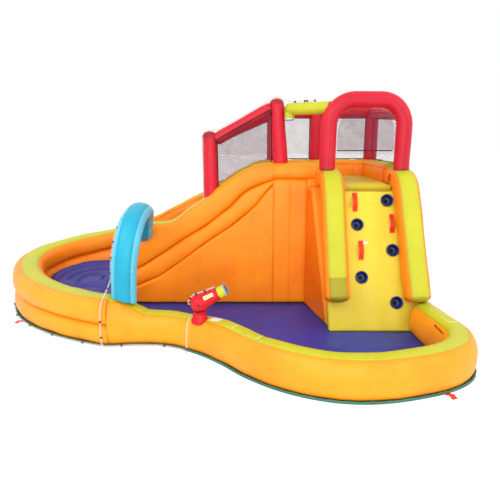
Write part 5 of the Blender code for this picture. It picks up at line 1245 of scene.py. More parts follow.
def net_corners():
    """Each net's corners: both ends of its foot, then its head from the far end back."""
    lines = frame_lines()
    left, middle, right = BACK_POSTS_X
    post, rail = POST_RADIUS + 0.001, RAIL_RADIUS + 0.001
    head, near = RAIL_Z - rail, ARCH_Y + ARCH_RADIUS + 0.002
    front = (SLIDE_POST_X + post, CORNER_POST_HEAD_X - post + 0.02)
    back = (BACK_SLIDE_POST_X + post, left - post)

    def wall_z(table, x):
        return float(eased(table, x)) + 0.004

    def rail_z(name, x, under):
        (x0, _, z0), (x1, _, z1) = lines[name][:2]
        return float(np.interp(x, (x0, x1), (z0, z1))) - rail * under

    def between(first, last):
        feet = [(x, BACK_Y, NET_FOOT) for x in (first, last)]
        return [*feet, *[(x, BACK_Y, head) for x in (last, first)]]

    return {
        "slide_net": [
            (front[0], FRONT_Y, wall_z(SLIDE_TOPS, front[0])),
            (front[1] + 0.02, FRONT_Y, wall_z(SLIDE_TOPS, front[1])),
            *[(x, FRONT_Y - rail, rail_z("slide_rail", x, 0.1)) for x in front[::-1]],
        ],
        "back_slide_net": [
            (back[0], BACK_Y, wall_z(BACK_TOPS, back[0])), (back[1], BACK_Y, NET_FOOT),
            *[(x, BACK_Y, rail_z("back_slide_rail", x, 1.05)) for x in back[::-1]],
        ],
        "back_net_left": between(left + post, middle - post),
        "back_net_right": between(middle + post, right - post),
        "right_net": [
            (ARCH_RIGHT_X, near, 1.70), (right, BACK_Y - post, NET_FOOT), (right, BACK_Y - post, head - 0.01),
            (ARCH_RIGHT_X, near, RIGHT_RAIL_Z - rail),
        ],
    }


def make_nets():
    """Black knitted nets between the posts, each bound along its edges, with slack folds where it is sewn."""
    for i, (name, corners) in enumerate(net_corners().items()):
        corners = np.array(corners)
        across, slack = (ALONG_X, 0.022) if name == "right_net" else (BACKWARDS, 0.006)
        net = net_piece(name + "_mesh", corners, across, 80 + i, slack)
        bands = [binding("band", corners[[a, b]], up=across) for a, b in ((0, 1), (1, 2), (3, 2), (0, 3))]
        band = merged(name + "_binding", bands)
        fit(net, nodes=name)
        fit(band)
        spokes = corners[1:] - corners[0]
        area = np.linalg.norm(np.cross(spokes[:-1], spokes[1:]), axis=1).sum() / 2
        sides = np.linalg.norm(np.roll(corners, -1, axis=0) - corners, axis=1)
        flat = tuple(np.maximum(sides[:2], sides[2:]).tolist())
        area = min(float(area), flat[0] * flat[1])


def make_curtain():
    """The doorway's net curtain: hung from a sleeve along its head, gathered a little, with a black hem."""
    half = (ARCH_RIGHT_X - ARCH_LEFT_X) / 2 - ARCH_RADIUS - 0.012
    head = ARCH_TOP - 2 * ARCH_RADIUS - 0.014
    corner = ARCH_CORNER - ARCH_RADIUS - 0.012
    z = np.linspace(CURTAIN_HEM_Z, head, 32)
    rise = np.clip((z - ARCH_SPRING + 0.09) / (corner + 0.09), 0, 1)
    wide = half - corner + corner * np.sqrt(1 - rise**2 * 0.96)
    u = np.linspace(-1, 1, 56)[:, None]
    drop = (head - z) / (head - CURTAIN_HEM_Z)
    fold = 0.010 * drop * np.sin(u * 9 + 0.6) + 0.003 * np.sin(u * 31)
    grid = points_of((ARCH_LEFT_X + ARCH_RIGHT_X) / 2 + u * wide, ARCH_Y + fold, z)
    net = slab_of("doorway_curtain", grid, BACKWARDS, NET_THICK)
    hem = binding("curtain_hem", grid[:, 0][::3], 0.0055)
    sleeve = binding("curtain_sleeve", grid[[2, -3], -1], 0.007, "red", flat=0.9)
    for piece in (net, hem, sleeve):
        fit(piece, "curtain")
    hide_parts("door_curtain")


# Slide, deck and floors
def make_slide_bed():
    """The slide's lane: four soft beams side by side, each a rounded pillow, down to the cushion."""
    near, far = FRONT_BACK_Y + GAP, BACK_FACE_Y + 0.012
    line = smooth_line([(x, 0.0, z) for x, z in BED_LINE], 0.016)[:, None, :]
    way = unit(np.gradient(line, axis=0))
    down = points_of(way[:, :, 2], 0.0, -way[:, :, 0])
    share = np.linspace(0, 1, 73)[:, None]
    drop = 0.026 * (1 - np.abs(np.sin(math.pi * share * BED_BEAMS)) ** 0.42)
    across = (near + (far - near) * share) * BACKWARDS
    top = line + down * drop + across
    under = line + down * BED_THICK + across[::-6]
    seams = [int(i * 72 / BED_BEAMS) for i in range(1, BED_BEAMS)]
    skin = sewn(np.concatenate([top, under], axis=1), seams, 91, groove=0.002, gather=0.003, wobble=0.002)
    x, y, z = np.moveaxis(skin[0], -1, 0)
    x[:] = np.minimum(x, BED_LINE[-1][0] - 0.003)
    y[:] = np.clip(y, near + 0.0002, BACK_FACE_Y + 0.034)
    z[:] = np.maximum(z, FLOOR_TOP + 0.001)
    lane = skin_piece("slide_lane", "cushion_blue", *with_noses(skin, rows=4))
    fit(lane, nodes="slide_bed")


def make_deck():
    """The platform: a firm yellow air mat with long beams, its rim rolled, and the inner web under it."""
    left = LEFT_BOLSTER_X + BOLSTER_WIDTH / 2 + GAP
    right = RIGHT_BOLSTER_X - BOLSTER_WIDTH / 2 - GAP
    near, far = FRONT_BACK_Y + GAP, BACK_FACE_Y - GAP
    side, lip = RIGHT_WALL_X - RIGHT_WALL_THICK / 2 - GAP, CLIMB_LIP_Y - 0.02
    head = BED_LINE[-1][0]
    outline = np.array([
        (head, far), (head, near), (left, near), (left, lip), (right, lip), (right, FRONT_FACE_Y - 0.04),
        (side, FRONT_FACE_Y - GAP), (side, far),
    ])

    def beams(plan):
        x, y = plan.T
        edge = np.minimum.reduce([x - head, side - x, far - y, y - lip, np.maximum(y - near, x - left)])
        roll = np.maximum(0.022 * (1 - rolled(edge, 0.035)), 0.085 * (1 - rolled(y - lip, 0.10)))
        return 0.006 * (np.abs(np.sin(math.pi * (x - head) / BEAM_PITCH)) ** 0.5 - 1) * (y > near) - roll

    def rounded_under(verts):
        half = len(verts) // 2
        verts[:half, 2] = DECK_UNDER + 0.3 * (DECK_TOP - verts[half:, 2])

    deck = plate_piece("deck_mat", outline, DECK_UNDER, DECK_TOP, "yellow", 0.022, beams)
    points_moved(deck, rounded_under)
    fit(deck, nodes="deck")
    y = np.linspace(near + 0.002, far - 0.002, 40)[:, None]
    web = points_of(WEB_X, y, np.linspace(BASE, DECK_UNDER - 0.002, 90))
    web[:, :, 0] += 0.0006 * waves(web, 0.25, 7)
    fit(slab_of("deck_web", web, ALONG_X, 0.004, "orange"), nodes="tower_web")


def sheet_outline():
    """The ground sheet's edge just outside the walls' widest line."""
    left = beside(LEFT, LEFT_WIDTH / 2 + HEM_OUT, LEFT_ENDS)[::3]
    right = beside(RIGHT, -right_widths() / 2 - HEM_OUT, RIGHT_ENDS)[::3]
    back = beside(BACK, WALL_THICK / 2 + HEM_OUT, BACK_ENDS)[::6]
    side = BACK_END_X + HEM_OUT
    corner = [(side, back[-1][1]), (side, 0.2), (PANEL_RIGHT_X + HEM_OUT, 0.1)]
    end = (right[-1][0], right[-1][1] + 0.02)
    return np.array([*left[1:], *back[1:-1], *corner, end, *right[::-1]])[::-1]


def hem_piping(edge):
    """Rings of the piping along the sheet's edge: a thin cord that wanders a little in two waves."""
    loop = np.vstack([edge, edge[:1]])
    length = along(loop)[-1]
    run = np.linspace(0, length, int(length / 0.012), endpoint=False)
    rise = PIPING_Z + 0.0016 * np.sin(run * 41) + 0.0012 * np.sin(run * 97 + 2)
    line = np.column_stack([at_run(loop, run), rise])
    way = np.gradient(line, axis=0)
    out = unit(np.stack([way[:, 1], -way[:, 0]], axis=1))
    line[:, :2] += out * (-PIPING_INSET + 0.0012 * np.sin(run * 23) + 0.0008 * np.sin(run * 61))[:, None]
    rings = round_rings(np.vstack([line, line[:2]]), PIPING_RADIUS, 12)
    rings[:, :, 2] = np.maximum(rings[:, :, 2], 0.0004)
    rings[-1] = rings[0]
    return rings


def anchor_loop(at, way):
    """A red webbing loop at a point of the sheet's edge, across the way of the edge there."""
    u = np.linspace(0, 1, 26)
    lift = TAB_RISE * np.sin(math.pi * np.clip((u - 0.15) / 0.7, 0, 1)) ** 2 + 0.0022
    line = points_of(at[0] + way[1] * TAB_LONG * u, at[1] - way[0] * TAB_LONG * u, lift)
    turn = np.radians(np.arange(0, 360, 20))
    a, b = squared(np.cos(turn), 0.3) * TAB_HALF, squared(np.sin(turn), 0.6) * TAB_HALF_THICK
    grid = line[:, None, :] + points_of(a * way[0], a * way[1], b)
    return skin_piece("loop", "scarlet", closed_ends(grid, (0.0005, 0.0005), 3), 0.05)


def make_ground_sheet():
    """The base cloth, its wavy green piping round the hem, and red webbing loops sewn to it for the pegs."""
    edge = sheet_outline()
    sheet = plate_piece("base_cloth", edge, 0.0, SHEET_THICK, "hem_green", 0.25)
    fit(sheet, nodes="ground_sheet")
    piping = skin_piece("hem_piping", "piping", hem_piping(edge), 0.02, merge=2e-4)
    fit(piping)
    ahead = np.roll(edge, -1, axis=0)
    middles, ways = (edge + ahead) / 2, unit(ahead - edge)
    nearest = [int(np.argmin(np.linalg.norm(middles - spot, axis=1))) for spot in TABS]
    fit(merged("anchor_loops", [anchor_loop(middles[i], ways[i]) for i in nearest]))


def make_river_floor():
    """The wading floor in one blue sheet, with shallow folds where it is pulled round the walls."""
    left = beside(LEFT, -0.97 * LEFT_WIDTH / 2, LEFT_ENDS)[::3]
    right = beside(RIGHT, 0.97 * right_widths() / 2, RIGHT_ENDS)[::3]
    off = 0.003
    block_y, face, left_x = CLIMB_FRONT_Y - off, FRONT_FACE_Y - off, PANEL_LEFT_X - off
    end, inner, lane = SLIDE_END_X - off, FRONT_BACK_Y + off, -0.40
    outline = np.array([
        *left[1:-1][::-1], *right[right[:, 1] < block_y - 0.02], (PANEL_RIGHT_X - 0.14, block_y),
        (left_x, block_y), (left_x, CLIMB_FRONT_Y + 0.2), (SIDE_LEFT_X - off, face), (end, face),
        (end, inner), (lane, inner), (lane, BACK_FACE_Y - off), (-0.76, BACK_FACE_Y + 0.05),
    ])

    def folds(plan):
        points = points_of(plan[:, 0], plan[:, 1], 0.0)
        return 0.0028 * (waves(points * (1, 1.9, 1), 0.55, 17) + 0.55 * waves(points * (1, 2.6, 1), 0.17, 19))

    def kept_thick(verts):
        half = len(verts) // 2
        verts[half:, 2] = np.maximum(verts[half:, 2], BASE + 0.0015)

    floor = plate_piece("wading_floor", outline, BASE + 0.0002, BASE + 0.0052, "pool_blue", 0.026, folds)
    points_moved(floor, kept_thick)
    fit(floor, nodes="river_floor")


def make_landing_cushion():
    """The landing cushion: curved ridges along the far wall and tufted pillows nearer the front.

    Rings shrink from the rim to the middle; the height is a crown with ridges by the ring's share, changing
    to tufts on a square grid towards the front, and it rolls down at the rim.
    """
    low, end = FLOOR_TOP + GAP, SLIDE_END_X - 0.05
    rim = beside(LEFT, -(LEFT_WIDTH / 2 + 0.014), LEFT_ENDS)
    rim = rim[(rim[:, 0] < end) & (rim[:, 1] > -0.36)][::2]
    ring = np.vstack([rim, [(end, y) for y in np.linspace(rim[-1][1], rim[0][1], 46)[1:-1]]])
    centre = ring.mean(axis=0)
    share = np.concatenate([[1.0, 0.998, 0.993, 0.985, 0.975], np.linspace(0.965, 0.0, 84)])[:, None]
    x, y = np.moveaxis(centre + (ring - centre)[None] * share[:, :, None], -1, 0)
    ridge = np.abs(np.sin(math.pi * (share - 0.04) / RIDGE_PITCH)) ** 0.5
    tuft_u = np.abs(np.sin(math.pi * (x - centre[0] + 0.16) / TUFT_PITCH[0])) ** 0.45
    tuft_v = np.abs(np.sin(math.pi * (y - centre[1] + 0.10) / TUFT_PITCH[1])) ** 0.45
    tuft = np.minimum(tuft_u, tuft_v) * 0.7 + tuft_u * tuft_v * 0.3
    far = np.clip((y - 0.62) / 0.16, 0, 1)
    relief = CUSHION_RELIEF * (far * ridge + (1 - far) * tuft)
    relief = relief + 0.0025 * waves(points_of(x, y, 0.0), 0.12, 5)
    tops = np.interp(y, (0.0, 1.25), (0.13, 0.30)) - 0.046
    top = points_of(x, y, low + 0.004 + (tops - low + relief) * rolled(1 - share, 0.07))
    foot = points_of(ring[None, :, 0], ring[None, :, 1], low)
    middle = points_of(*centre, np.full((1, len(ring)), low))
    grid = np.concatenate([middle, foot, top])
    seam = np.broadcast_to(np.vstack([[[0.2], [0.0]], 0.2 * (1 - share)]), grid.shape[:2])
    cushion = skin_piece("splash_cushion", "cushion_blue", grid, seam)
    fit(cushion, nodes="landing_cushion")


# Spray arch and sprayer
def make_spray_arch():
    """The spray arch over the channel: a soft blue tube with paler sewn edges, cut slanted at its feet."""
    line = smooth_line(SPRAY_LINE, 0.014)
    line = np.vstack([3 * line[0] - 2 * line[1], line])
    run = along(line)
    ends = 1 - 0.06 * np.exp(-run / 0.05) - 0.06 * np.exp(-(run[-1] - run) / 0.05)
    rings = round_rings(line, SPRAY_RADIUS * ends, 56, SPRAY_FLAT, BACKWARDS)
    skin = sewn(rings, SPRAY_SEAMS, 101, gather=0.004, wobble=0.003, pitch=0.05)
    x, y, z = np.moveaxis(skin[0], -1, 0)
    slant = 0.43 - 0.30 * (x - SPRAY_LINE[0][0])
    z[:] = np.where(y < -0.5, np.maximum(z, slant), z)
    y[:] = np.minimum(y, FRONT_FACE_Y + 0.004)
    marked = np.zeros(56, np.int32)
    for first, last in (SPRAY_SEAMS[:2], SPRAY_SEAMS[2:]):
        marked[first:last] = 1
    skin = with_noses(skin, rows=5)
    arch = skin_piece("spray_arch_cloth", ["arch_pale", "arch_blue"], *skin, marked=marked)
    fit(arch, nodes="spray_arch")


def turned_piece(name, at, way, profile, finish, sides, marks=None, seam=None, squeeze=None):
    """A piece turned about a line: (radius, reach) points carried round it, closed at both poles.

    marks gives the finish of each row, seam(reach) the distance from a seam, and squeeze(turn, reach) the
    share by which the radius grows there.
    """
    way = unit(np.asarray(way, float))
    one = unit(np.cross(BACKWARDS if abs(way[1]) < 0.9 else ALONG_X, way))
    two = np.cross(way, one)
    profile = np.array([(0.0, profile[0][1]), *profile, (0.0, profile[-1][1])])
    turn = round_turn(sides)
    r, h = profile[:, :1], profile[:, 1:]
    if squeeze:
        r = r * (1 + squeeze(turn, h))
    round_it = (r * np.cos(turn))[:, :, None] * one + (r * np.sin(turn))[:, :, None] * two
    grid = at + round_it + way * h[:, :, None]
    if marks:
        marks = np.repeat([0, *marks], sides)
    if seam:
        seam = np.broadcast_to(seam(h), grid.shape[:2])
    return mesh_piece(name, grid, ring_faces(*grid.shape[:2]), finish, marks, seam)


def make_sprayer():
    """The lime sprayer arm from the arch, mitred down at its elbow to a white and blue spray ring."""
    low = ARM_ELBOW - UPRIGHT * SPRAYER_DROP
    start = ARM_START + unit(ARM_ELBOW - ARM_START) * 0.06
    line = smooth_line([start, (ARM_START + ARM_ELBOW) / 2, ARM_ELBOW], 0.012)
    arm = skin_piece("arm", "lime", *soft_tube(line, SPRAYER_RADIUS, 111, reach=(0.0, SPRAYER_RADIUS * 0.75)))
    drop = soft_tube(np.linspace(ARM_ELBOW, low, 9), SPRAYER_RADIUS * 0.88, 113, (0, 22))
    arm = merged("sprayer_cloth", [arm, skin_piece("drop", "lime", *drop)])
    fit(arm, nodes="sprayer_arm")
    profile = np.array([
        (0.040, 0.010), (0.0525, 0.009), (0.0535, 0.0), (0.0535, -0.008), (0.0525, -0.0105), (0.0535, -0.013),
        (0.0535, -0.020), (0.0515, -0.022), (0.042, -0.022), (0.040, -0.018), (0.038, -0.006), (0.038, 0.008),
        (0.040, 0.010),
    ])
    turn = round_turn(56)
    rings = points_of(profile[:, :1] * np.cos(turn), profile[:, :1] * np.sin(turn), profile[:, 1:]) + low
    marks = np.repeat([0, 0, 0, 0, 1, 1, 1, 1, 1, 1, 0, 0], 56)
    fit(skin_piece("spray_ring", ["white", "ring_blue"], rings, marked=marks))
    jet = [(0.003, -0.001), (0.0026, 0.002), (0.0012, 0.0024)]
    turn = round_turn(10)
    places = low + points_of(JET_CIRCLE * np.cos(turn), JET_CIRCLE * np.sin(turn), -0.0205)
    jets = [turned_piece("jet", place, -UPRIGHT, jet, "black", 10) for place in places]
    fit(merged("spray_jets", jets))


# Water cannon
def cannon_frame():
    """The barrel's pivot, the way it aims and the way up across it."""
    aim = np.array([math.cos(CANNON_PITCH), 0.0, math.sin(CANNON_PITCH)])
    return np.array(CANNON_AT), aim, np.array([-aim[2], 0.0, aim[0]])


def near_to(place, width):
    """A share that fades on both sides of a place along a turned piece."""
    return lambda h: np.exp(-np.abs(h - place) / width)


def make_cannon_base():
    """The cannon's gathered pedestal on the rim and its turning collar."""
    low = CANNON_AT[2] - CANNON_BALL - 0.012
    tie = DIP_TOP + 0.012
    at = np.array((*CANNON_AT[:2], 0.0))
    gathers = near_to(tie, 0.03)
    heights = [
        (0.0802, tie - 0.026), (0.0805, tie - 0.016), (0.0800, tie - 0.006), (0.0785, tie + 0.002),
        (0.0745, tie + 0.012), (0.0700, tie + 0.022), (0.0660, low - 0.030), (0.0625, low - 0.020),
        (0.0600, low - 0.012), (0.0590, low - 0.006), (0.0560, low - 0.0022), (0.040, low - 0.0012),
    ]
    pedestal = turned_piece("cannon_foot", at, UPRIGHT, heights, "cannon_red", 84,
                            seam=lambda h: np.abs(h - tie),
                            squeeze=lambda turn, h: 0.014 * np.sin(turn * 14) * gathers(h))
    fit(pedestal, nodes="cannon_pedestal")
    bed = low - 0.0002
    ring = [
        (0.040, 0.0004), (0.0575, 0.0004), (0.0598, 0.003), (0.0602, 0.009), (0.0598, 0.015),
        (0.0575, 0.0176), (0.0540, 0.0172), (0.0480, 0.011), (0.030, 0.0062),
    ]
    collar = turned_piece("cannon_swivel", at + UPRIGHT * bed, UPRIGHT, ring, "cannon_red", 72,
                          seam=lambda h: np.abs(h - 0.009))
    fit(collar, "cannon_turret", "cannon_collar")


def make_cannon_gun():
    """The stuffed barrel with its patch and pivot bolts, and the lime nozzle."""
    pivot, aim, lid = cannon_frame()
    belt, muzzle, tip = 0.052, 0.2003, 0.285
    turns = np.radians(np.arange(-87, 32, 5.5))
    barrel = [
        *[(CANNON_BALL * math.cos(a), CANNON_BALL * math.sin(a)) for a in turns], (0.0735, 0.062),
        (0.0705, 0.080), (0.0680, 0.098), (0.0655, 0.120), (0.0630, 0.145), (0.0610, 0.165),
        (0.0592, 0.182), (0.0580, 0.192), (0.0560, 0.1985), (0.045, 0.1995),
    ]
    mouth_gathers, nozzle_gathers = near_to(0.196, 0.02), near_to(muzzle, 0.012)

    def stuffed(turn, h):
        return (
            0.012 * np.sin(turn * 9 + 1) * mouth_gathers(h)
            + 0.006 * np.sin(turn * 3 + 0.5) * np.exp(-(((h - 0.05) / 0.06) ** 2))
            - 0.020 * np.exp(-(((h - belt) / 0.007) ** 2))
        )

    gun = turned_piece("cannon_body", pivot, aim, barrel, "cannon_red", 84, squeeze=stuffed,
                       seam=lambda h: np.minimum(np.abs(h - belt), np.abs(h - 0.190)))
    fit(gun, "cannon_gun", "cannon_barrel")
    nose = [
        (0.048, muzzle + 0.0002), (0.053, muzzle + 0.001), (0.054, muzzle + 0.02), (0.0545, tip - 0.020),
        (0.055, tip - 0.0145), (0.0575, tip - 0.0140), (0.0580, tip - 0.010), (0.0580, tip - 0.002),
        (0.0565, tip - 0.0002), (0.046, tip - 0.0003), (0.0405, tip - 0.0010), (0.0365, tip - 0.006),
        (0.0350, tip - 0.020), (0.0330, tip - 0.050), (0.010, tip - 0.0575),
    ]
    # the nozzle's bore takes the near black painted hole shade
    marks = [0, 0, 0, 0, 0, 1, 1, 1, 1, 1, 1, 2, 2, 2, 2]
    nozzle = turned_piece("cannon_mouth", pivot, aim, nose, ["lime", "ring_blue", "grip"], 72, marks,
                          squeeze=lambda turn, h: 0.010 * np.sin(turn * 11) * nozzle_gathers(h))
    fit(nozzle, "cannon_gun", "cannon_nozzle")
    bolt = [(0.011, -0.004), (0.0115, 0.001), (0.010, 0.004), (0.0045, 0.0052)]
    ways = (-BACKWARDS, BACKWARDS)
    bolts = [turned_piece("bolt", pivot + way * BOLT_OUT, way, bolt, "black", 24) for way in ways]
    fit(merged("cannon_pivot_bolts", bolts), "cannon_gun")
    patch = []
    for wide, tall, off, finish in ((0.092, 0.034, 0.0012, "white"), (0.080, 0.023, 0.0020, "patch")):
        u = np.linspace(0.115 - wide / 2, 0.115 + wide / 2, 24)[:, None, None]
        v = (np.linspace(-tall / 2, tall / 2, 14) / 0.066 + math.radians(28))[None, :, None]
        radius = np.interp(u, [0.06, 0.1, 0.145, 0.18], [0.0738, 0.0678, 0.0630, 0.0594]) + off
        grid = pivot + aim * u + radius * (np.sin(v) * lid - np.cos(v) * BACKWARDS)
        patch.append(slab_of("patch", grid, np.array([0.0, -0.8, 0.4]), 0.001, finish))
    fit(merged("cannon_patch", patch), "cannon_gun")


# Water tubes and their clips
HEM_TUBE_Z, OFF_HEM, OFF_CLOTH = TUBE_RADIUS + 0.003, HEM_OUT + TUBE_RADIUS + 0.003, TUBE_RADIUS + 0.0015


def hem_inlet(line):
    """Where the hose inlet lies beside the left pool wall, and the way it points."""
    hem = beside(line, LEFT_WIDTH / 2 + HEM_OUT + NUT_RADIUS + 0.0005, LEFT_ENDS)
    i = int(np.argmin(np.abs(hem[:, 1] - INLET_Y) + (hem[:, 0] > -1.5) * 9))
    return np.array([*hem[i], NUT_RADIUS + 0.0006]), np.array([*unit(hem[i + 1] - hem[i - 1]), 0.0])


def supply_path():
    """The supply tube: from the inlet along the hem, then up over the right rim to the cannon's pedestal."""
    left_line, right_line = smooth_line(LEFT_LINE, 0.16), smooth_line(RIGHT_LINE, 0.16)
    inlet, way = hem_inlet(left_line)
    left = beside(left_line, LEFT_WIDTH / 2 + OFF_HEM, LEFT_ENDS)
    right = beside(right_line, -right_widths(right_line) / 2 - OFF_HEM, RIGHT_ENDS)
    run = [(*p, HEM_TUBE_Z) for p in left[::-1] if np.dot(p - inlet[:2], way[:2]) < -0.14 and p[1] < INLET_Y]
    run += [(*p, HEM_TUBE_Z) for p in right[1:] if p[0] < CANNON_AT[0] - 0.20]
    start = [inlet - way * reach for reach in (0.001, 0.02, 0.05)]
    cx, cy = CANNON_AT[:2]
    over = cy - RIGHT_WIDTH / 2 - TUBE_RADIUS - 0.004
    rise = [
        np.array(run[-1]) + (0.06, -0.035, 0.001), (cx - 0.115, over - 0.003, 0.045),
        (cx - 0.112, over, 0.13), (cx - 0.110, over + 0.012, 0.23), (cx - 0.105, over + 0.055, 0.305),
        (cx - 0.090, cy - 0.045, 0.352), (cx - 0.068, cy, 0.358),
    ]
    return smooth_line([*start, *run, *rise], 0.02), inlet, way


def branch_path():
    """The spray arch's tube: over the wall at the arch's foot and along the arch's outer edge."""
    x, y = SEAM[0] - 0.045, SEAM[1] + 0.01 - LEFT_WIDTH / 2 - OFF_HEM
    top = NEAR_TOP + TUBE_RADIUS + 0.003
    wall = [
        (x + 0.02, y - 0.030, HEM_TUBE_Z), (x, y - 0.027, 0.034), (x - 0.012, y - 0.004, 0.12),
        (x - 0.012, y, 0.23), (x - 0.006, y - 0.002, 0.34), (x, y + 0.045, top - 0.03), (x, y + 0.11, top),
    ]
    spray = smooth_line(SPRAY_LINE, 0.13)
    tangents = unit(np.gradient(spray, axis=0))
    side = unit(tangents * tangents[:, :1] - ALONG_X)
    edge = (spray + side * (SPRAY_RADIUS + TUBE_RADIUS - 0.0005))[1:-3]
    return smooth_line([*wall, *edge[edge[:, 2] > top + 0.05]], 0.02)


def over_dome(x, top, out, degrees):
    """Points just over a post's domed head, at the given degrees round from its left."""
    points = []
    for a in np.radians(degrees):
        c, s = math.cos(a), math.sin(a)
        away = unit(np.array([-c / POST_RADIUS, 0.0, s / DOME]))
        points.append(np.array([x - POST_RADIUS * c, FRONT_Y, top - DOME + DOME * s]) + away * out)
    return points


def upper_path():
    """The top tube: up the slide post, along the slide rail, over the corner post and on to the sprayer."""
    x = SLIDE_POST_X - POST_RADIUS - OFF_CLOTH
    foot = float(level(SLIDE_TOPS, x)) + TUBE_RADIUS + 0.004
    climb = [(x, FRONT_Y, foot), (x, FRONT_Y, foot + 0.15), (x, FRONT_Y, 1.85)]
    crest = over_dome(SLIDE_POST_X, SLIDE_POST_TOP, OFF_CLOTH + 0.001, (0, 24, 47, 68, 88))
    low = np.array([SLIDE_POST_X, FRONT_Y, SLIDE_POST_TOP - POST_RADIUS * 1.5])
    high = np.array([CORNER_POST_HEAD_X, FRONT_Y, RAIL_Z + 0.02])
    slope = unit(high - low)
    lift = np.array([-slope[2], 0.0, slope[0]]) * (RAIL_RADIUS + OFF_CLOTH + 0.002)
    rail = [low + (high - low) * t + lift for t in (0.17, 0.3, 0.5, 0.75)]
    head = over_dome(CORNER_POST_HEAD_X, CORNER_POST_TOP, OFF_CLOTH + 0.003, (42, 65, 90, 115, 138))
    above = ARM_ELBOW + UPRIGHT * (SPRAYER_RADIUS + OFF_CLOTH + 0.004)
    arm = [above + (ARM_START - ARM_ELBOW) * t for t in (0.08, 0.35, 0.6)]
    return smooth_line([*climb, *crest, *rail, *head, *arm], 0.015)


def gun_path():
    """The cannon's tube: up round the back of its ball and along the top of the barrel."""
    pivot, aim, lid = cannon_frame()
    turns = np.radians([160, 160, 153, 138, 116, 90, 68])
    outs = [0.001, 0.013, 0.019, 0.015, OFF_CLOTH, OFF_CLOTH, OFF_CLOTH]
    line = []
    for a, out in zip(turns, outs):
        line.append(pivot + (aim * math.cos(a) + lid * math.sin(a)) * (CANNON_BALL + out))
    for reach, radius in ((0.07, 0.071), (0.11, 0.067), (0.16, 0.0625), (0.195, 0.0585)):
        line.append(pivot + aim * reach + lid * (radius + OFF_CLOTH))
    return smooth_line(line, 0.008)


def clips_on(name, path, places, body="park"):
    """Black clips round a tube: a short collar at the given distances along it."""
    collar = [(0.0088, -0.008), (0.0112, -0.0075), (0.0116, -0.005)]
    collar += [(r, -h) for r, h in collar[::-1]]
    parts = []
    for place in places:
        behind, at, ahead = at_run(path, place + np.array([-0.01, 0.0, 0.01]))
        parts.append(turned_piece("clip", at, ahead - behind, collar, "black", 18))
    clips = merged(name, parts)

    def above_ground(verts):
        verts[:, 2] = np.maximum(verts[:, 2], 0.0006)

    points_moved(clips, above_ground)
    return fit(clips, body)


SUPPLY, INLET, INLET_WAY = supply_path()


def make_tubes():
    """The milky water tubes along the hem, over the spray arch, along the rails and on the cannon."""
    branch, upper, gun = branch_path(), upper_path(), gun_path()
    for name, node, body, path in (
        ("supply", "supply_tube", "park", SUPPLY), ("branch", "arch_tube", "park", branch),
        ("upper", "top_tube", "park", upper), ("gun", "cannon_tube", "cannon_gun", gun),
    ):
        tube = skin_piece(f"{name}_water_tube", "tube_white",
                          closed_ends(round_rings(path, TUBE_RADIUS, 16), (0.002, 0.002), 3))
        fit(tube, body, node)
    clips_on("hem_clips", SUPPLY, np.arange(0.22, along(SUPPLY)[-1] - 0.1, 0.42))
    clips_on("branch_clips", branch, [0.10, 0.26, *np.arange(0.62, along(branch)[-1], 0.155)])
    clips_on("upper_clips", upper, along(upper)[-1] - np.array([0.27, 0.145, 0.115, 0.02]))
    clips_on("gun_clips", gun, [0.075, 0.15, 0.235], "cannon_gun")


# Fittings and small sewn things
def make_coupling():
    """The hose coupling: a stepped inlet with a ribbed grip, and the knurled nut that takes a garden hose."""
    body = [
        (0.008, 0.0004), (0.0118, 0.0008), (0.0122, 0.004), (0.0122, 0.019), (0.0150, 0.0215),
        (0.0170, 0.024), (0.0172, 0.030), (0.0160, 0.031), (0.0172, 0.032), (0.0172, 0.038), (0.0160, 0.039),
        (0.0172, 0.040), (0.0170, 0.0445), (0.0132, 0.047), (0.0130, 0.0545), (0.009, 0.0549),
    ]
    fit(turned_piece("hose_coupling", INLET, INLET_WAY, body, "black", 40), nodes="hose_inlet")
    nut = [
        (0.0105, 0.0004), (0.0175, 0.0004), (0.0186, 0.002), (0.0186, 0.025), (0.0175, 0.0276),
        (0.0115, 0.0278), (0.0102, 0.026), (0.0096, 0.022), (0.0096, 0.006), (0.002, 0.005),
    ]

    def knurl(turn, h):
        return 0.030 * squared(np.sin(turn * 10), 0.4) * ((h > 0.0015) & (h < 0.0262))

    at = INLET + INLET_WAY * 0.0553
    nut = turned_piece("hose_union_nut", at, INLET_WAY, nut, "black", 120, squeeze=knurl)
    fit(nut, "coupling_nut", "hose_nut")


